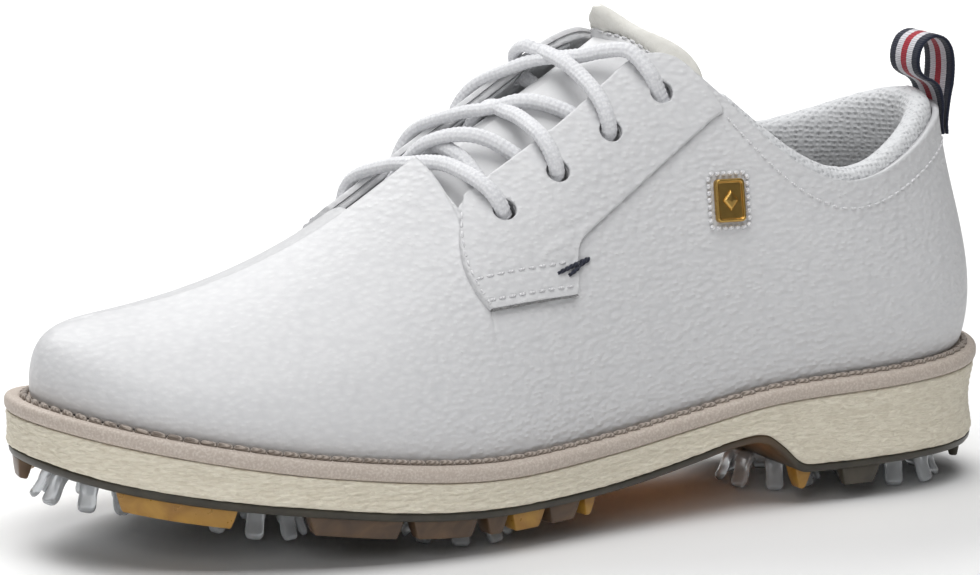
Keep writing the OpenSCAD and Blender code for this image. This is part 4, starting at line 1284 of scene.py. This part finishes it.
def make_welt():
    def top(x):
        return feather(x) - 0.1

    def low(x):
        return feather(x) - WELT_T + 0.02

    t = round_stations(560)
    width = spline(t)[:, 9]
    profile = [(0.0, -2.5)]
    for a in np.radians(np.linspace(-90, 90, 15)):
        round_share = 0.5 + 0.5 * math.copysign(abs(math.sin(a))**0.8, a)
        profile.append((round_share, -1.25 + 1.55 * math.cos(a)**0.8))
    profile += [(1.02, -2.4), (1.0, -3.0), (0.9, -3.5), (0.9, -3.9), (1.0, -4.6)]
    # The inner edge keeps its distance from the feather line
    profile += [(1.0, -2.2 - width), (0.0, -2.2 - width)]
    rings = []
    for share, o in profile:
        xy = edge_point(t, o)
        rings.append(np.column_stack([xy, low(xy[:, 0]) + (top(xy[:, 0]) - low(xy[:, 0])) * share]))
    grid = np.stack(rings, 1)
    welt = new_object("welt_strip", grid.reshape(-1, 3), quads(*grid.shape[:2], ring=True, loop=True))
    return finish_piece(welt, WELT_PAINT, "welt_leather", "welt")


def make_welt_stitches():
    t = np.linspace(0, COUNT, 1500)
    r = spline(t)
    xy = r[:, :2] + outward(t) * 1.45
    p = np.column_stack([xy, feather(xy[:, 0]) + 0.38])
    n = np.tile([0, 0, 1.0], (len(p), 1))
    row = stitches(p, n, 3.7, 0.15, 1.25, tilt=0.55, sink=0.0)
    return finish_piece(new_object("welt_stitches", *row), NATURAL_THREAD, "natural_thread", "welt_thread")


make_midsole()
make_welt()
make_welt_stitches()

SPIKE_XY = [(31, 12), (38, -17.5), (61, 4.5), (158, 23), (180, -25), (206, 13), (212, -26), (238, -10)]
SPIKE_H = 9.5
FLANGE_R = 9.6


def plate_low(x):
    return underside(x) - PLATE_T


def spike_place(x, y):
    """Matrix that takes a spike's own millimetres to the row frame."""
    lean = 0 if x < 190 else math.atan((plate_low(x + 8) - plate_low(x - 8)) / 16)
    seat = SPIKE_H if x < 190 else float(plate_low(x)) - 0.3
    return (Matrix.Scale(SCALE, 4) @ Matrix.Translation(Vector((x, y, seat)) - Vector(MIDDLE))
            @ Matrix.Rotation(-lean, 4, "Y"))


def lathe(profile, sides=48):
    """A turned solid from (radius, height) rows, closed where the radius is 0."""
    a = np.arange(sides) * 2 * math.pi / sides
    r, z = np.array(profile, float).T[:, :, None]
    rings = np.stack(np.broadcast_arrays(r * np.cos(a), r * np.sin(a), z), -1)
    return rings.reshape(-1, 3), quads(len(profile), sides, loop=True, order=TUBE_WISE)


def in_place(points, matrix):
    """Own millimetres to design millimetres, through a matrix into the row frame."""
    m = np.array(matrix)
    return (points @ m[:3, :3].T + m[:3, 3]) / SCALE + MIDDLE


def make_outsole():
    rows = [(0.0, -3.2), (0.0, -2.1), (0.12, -1.3), (0.4, -0.85), (0.75, -0.7), (1.0, -0.75), (1.0, -2.4)]
    plate = new_object("outsole", *slab(rows, 560, plate_low, lambda x: underside(x) - 0.02))
    for x, y in SPIKE_XY:
        m = spike_place(x, y)
        ring = lathe([(0.001, -4), (FLANGE_R + 0.6, -4), (FLANGE_R + 0.6, 0.25), (0.001, 0.25)], 40)
        cut(plate, in_place(ring[0], m), ring[1])
    return finish_piece(plate, OUTSOLE, "outsole_tpu", "outsole_plate")


def lug(a, b, i=2.5, j=8.5):
    """A tapered tread block along the edge of the plate, from station a to b and inset i to j."""
    n = max(5, int(abs(b - a) * 12))
    u = np.linspace(0, 1, n)
    middle, half = (a + b) / 2, (b - a) / 2
    step = np.linalg.norm(edge_point(np.array(b), -i) - edge_point(np.array(a), -i))
    taper = min(0.32, 1.5 / step)
    levels = []
    for share, lean, inset in ((0.0, 0.0, 0.0), (0.55, 0.5, 0.35), (0.9, 0.9, 0.7), (1.0, 1.15, 1.0)):
        t = middle + half * (2 * u - 1) * (1 - 2 * taper * lean)
        outer_xy = edge_point(t, np.full(n, -i - 0.8 * inset))
        inner_xy = edge_point(t, np.full(n, -j + 1.2 * inset))
        loop = np.concatenate([outer_xy, inner_xy[::-1]])
        z = plate_low(loop[:, 0]) + 0.25 - (LUG_H + 0.1) * share
        levels.append(np.column_stack([loop, z]))
    k = 2 * n
    faces = []
    for level in range(len(levels) - 1):
        for q in range(k):
            m = (q + 1) % k
            faces.append([level * k + q, (level + 1) * k + q, (level + 1) * k + m, level * k + m])
    start = (len(levels) - 1) * k
    for base, flip in ((0, False), (start, True)):
        for q in range(n - 1):
            face = [base + q, base + q + 1, base + k - 2 - q, base + k - 1 - q]
            faces.append(face[::-1] if flip else face)
    return np.concatenate(levels), faces


LUGS = {
    "lugs_amber": (AMBER, "amber_tpu", "amber_lugs",
                   [(1.75, 3.1), (5.95, 6.35), (6.85, 7), (10.05, 10.3, 3, 8), (21.7, 22.1),
                    (24.3, 25, 1.5, 5.2), (26.2, 27.2, 1.5, 5), (18.2, 18.45, 4, 10)]),
    "lugs_brown": (BROWN, "brown_tpu", "brown_lugs",
                   [(3.8, 4.75), (4.85, 5.55, 2.5, 7.5), (5.65, 5.9), (6.4, 6.8), (21.1, 21.6), (22.2, 23.1),
                    (23.25, 24.2, 1.5, 5.2), (27.3, 27.9, 1.5, 5)]),
    "lugs_dark": (DARK_LUG, "outsole_tpu", "heel_lugs",
                  [(10.75, 11.35, 2, 5.6), (13.1, 14.7, 3, 6.5), (15, 15.4, 1.5, 5)]),
}


def make_lugs():
    for name, (material, slot_name, node, blocks) in LUGS.items():
        lugs = new_object(name, *join([lug(*block) for block in blocks]))
        weld(lugs, 2e-6)
        bevel(lugs, 0.35, 2, 28)
        finish_piece(lugs, material, slot_name, node)


def spike_leg():
    """One curved leg: it springs out of the flange, sweeps down and ends in a rounded foot."""
    line = along_path([(6.6, 0, -1.3), (8.9, 0, -1.6), (10.3, 0, -3.3), (10.9, 0, -5.4), (11.7, 0, -7.3),
                       (12.5, 0, -8.35), (12.75, 0, -8.6)], 0.42)
    share = np.linspace(0, 1, len(line))
    wide = np.interp(share, [0, 0.25, 0.6, 0.85, 0.95, 1.0], [5.2, 4.9, 4.2, 4.5, 4.1, 3.0])
    thick = np.interp(share, [0, 0.25, 0.6, 0.85, 0.95, 1.0], [2.5, 2.4, 2.1, 2.2, 2.0, 1.3])
    d = unit(np.gradient(line, axis=0))
    n = np.stack([d[:, 2], np.zeros(len(d)), -d[:, 0]], 1)
    points, faces = tube(line, n, wide, thick, 18, 0.7)
    points[:, 2] = np.maximum(points[:, 2], -SPIKE_H)
    return points, faces


def make_spikes():
    flange = lathe([(0.001, -2.95), (3.2, -3.0), (6.6, -2.7), (8.6, -2.2), (9.3, -1.7), (9.55, -1.1),
                    (9.4, -0.6), (8.6, -0.35), (5.6, -0.3), (5.5, 4.3), (4.9, 4.6), (0.001, 4.6)])
    ring = lathe([(4.4, -2.6), (4.4, -3.35), (4.7, -3.55), (5.2, -3.5), (5.4, -3.2), (5.4, -2.6)])
    leg_points, leg_faces = spike_leg()
    parts = [(flange[0], [f[::-1] for f in flange[1]][::-1]), ring]
    for k in range(8):
        a = math.radians(22.5 + 45 * k)
        turn = np.array([[math.cos(a), -math.sin(a), 0], [math.sin(a), math.cos(a), 0], [0, 0, 1]])
        parts.append((leg_points @ turn.T, leg_faces))
    points, faces = join(parts)
    for i, (x, y) in enumerate(SPIKE_XY):
        name = "spike_%d" % (i + 1)
        spike = new_object("soft_" + name, in_place(points, spike_place(x, y)), faces, body=name)
        weld(spike, 2e-6)
        finish_piece(spike, CLEAR, "clear_tpu", name)


make_outsole()
make_lugs()
make_spikes()


def make_footbed():
    """Removable footbed: cupped at the heel."""
    t = round_stations(400)
    r, out = spline(t), outward(t)
    rings = []
    for inset, rise in ((-7.6, 0.3), (-7.2, 1.5), (-7.0, 3.2), (-7.3, 4.4), (-8.2, 4.9), (-10.0, 4.9),
                        (-13, 4.6), (-16, 4.5)):
        xy = r[:, :2] + out * inset
        cup = 3.2 * np.exp(-((xy[:, 0] - 12) / 45)**2) * np.clip((inset + 12) / 9, 0, 1)
        rings.append(np.column_stack([xy, feather(xy[:, 0]) + rise + cup * (rise > 3)]))
    footbed = new_object("footbed_pad", *capped(np.stack(rings, 1)))
    finish_piece(footbed, FOOTBED_TOP, "footbed_foam", "footbed")


make_footbed()

# ---- floor and light ----


def make_stage():
    floor_mesh = bpy.data.meshes.new("floor")
    half = 6.0
    floor_mesh.from_pydata([(-half, -half, 0), (half, -half, 0), (half, half, 0), (-half, half, 0)], [],
                           [(0, 1, 2, 3)])
    floor = bpy.data.objects.new("floor", floor_mesh)
    bpy.context.scene.collection.objects.link(floor)
    paper = Paint("floor_paper", Roughness=0.6, Specular_IOR_Level=0.15)
    paper.colour(paper.mix(paper.noise(3, 2), (0.93, 0.93, 0.93), (0.95, 0.95, 0.95)))
    floor.data.materials.append(paper.mat)


def area_light(name, place_at, aim, size, power, spread=180):
    data = bpy.data.lights.new(name, "AREA")
    data.shape = "RECTANGLE"
    data.size, data.size_y = size
    data.energy = power
    data.spread = math.radians(spread)
    light = bpy.data.objects.new(name, data)
    bpy.context.scene.collection.objects.link(light)
    light.location = place_at
    light.rotation_mode = "QUATERNION"
    light.rotation_quaternion = (Vector(aim) - Vector(place_at)).to_track_quat("-Z", "Y")


make_stage()
# A wide soft box overhead, towards the toe; a second one only lights the floor behind the shoe
area_light("overhead", (0.12, 0.32, 1.2), (0.03, 0, 0), (0.9, 0.9), 10.5)
area_light("side_fill", (0.95, 1.15, 0.8), (0.03, 0, 0.05), (0.9, 0.6), 4.5)
area_light("floor_wash", (-0.15, -1.25, 1.1), (-0.25, -1.0, 0), (1.8, 1.0), 16, 110)
world_light = bpy.data.worlds.new("studio")
world_light.use_nodes = True
world_light.node_tree.nodes["Background"].inputs["Color"].default_value = (1, 1, 1, 1)
world_light.node_tree.nodes["Background"].inputs["Strength"].default_value = 0.12
bpy.context.scene.world = world_light
bpy.context.scene.view_settings.view_transform = "Standard"
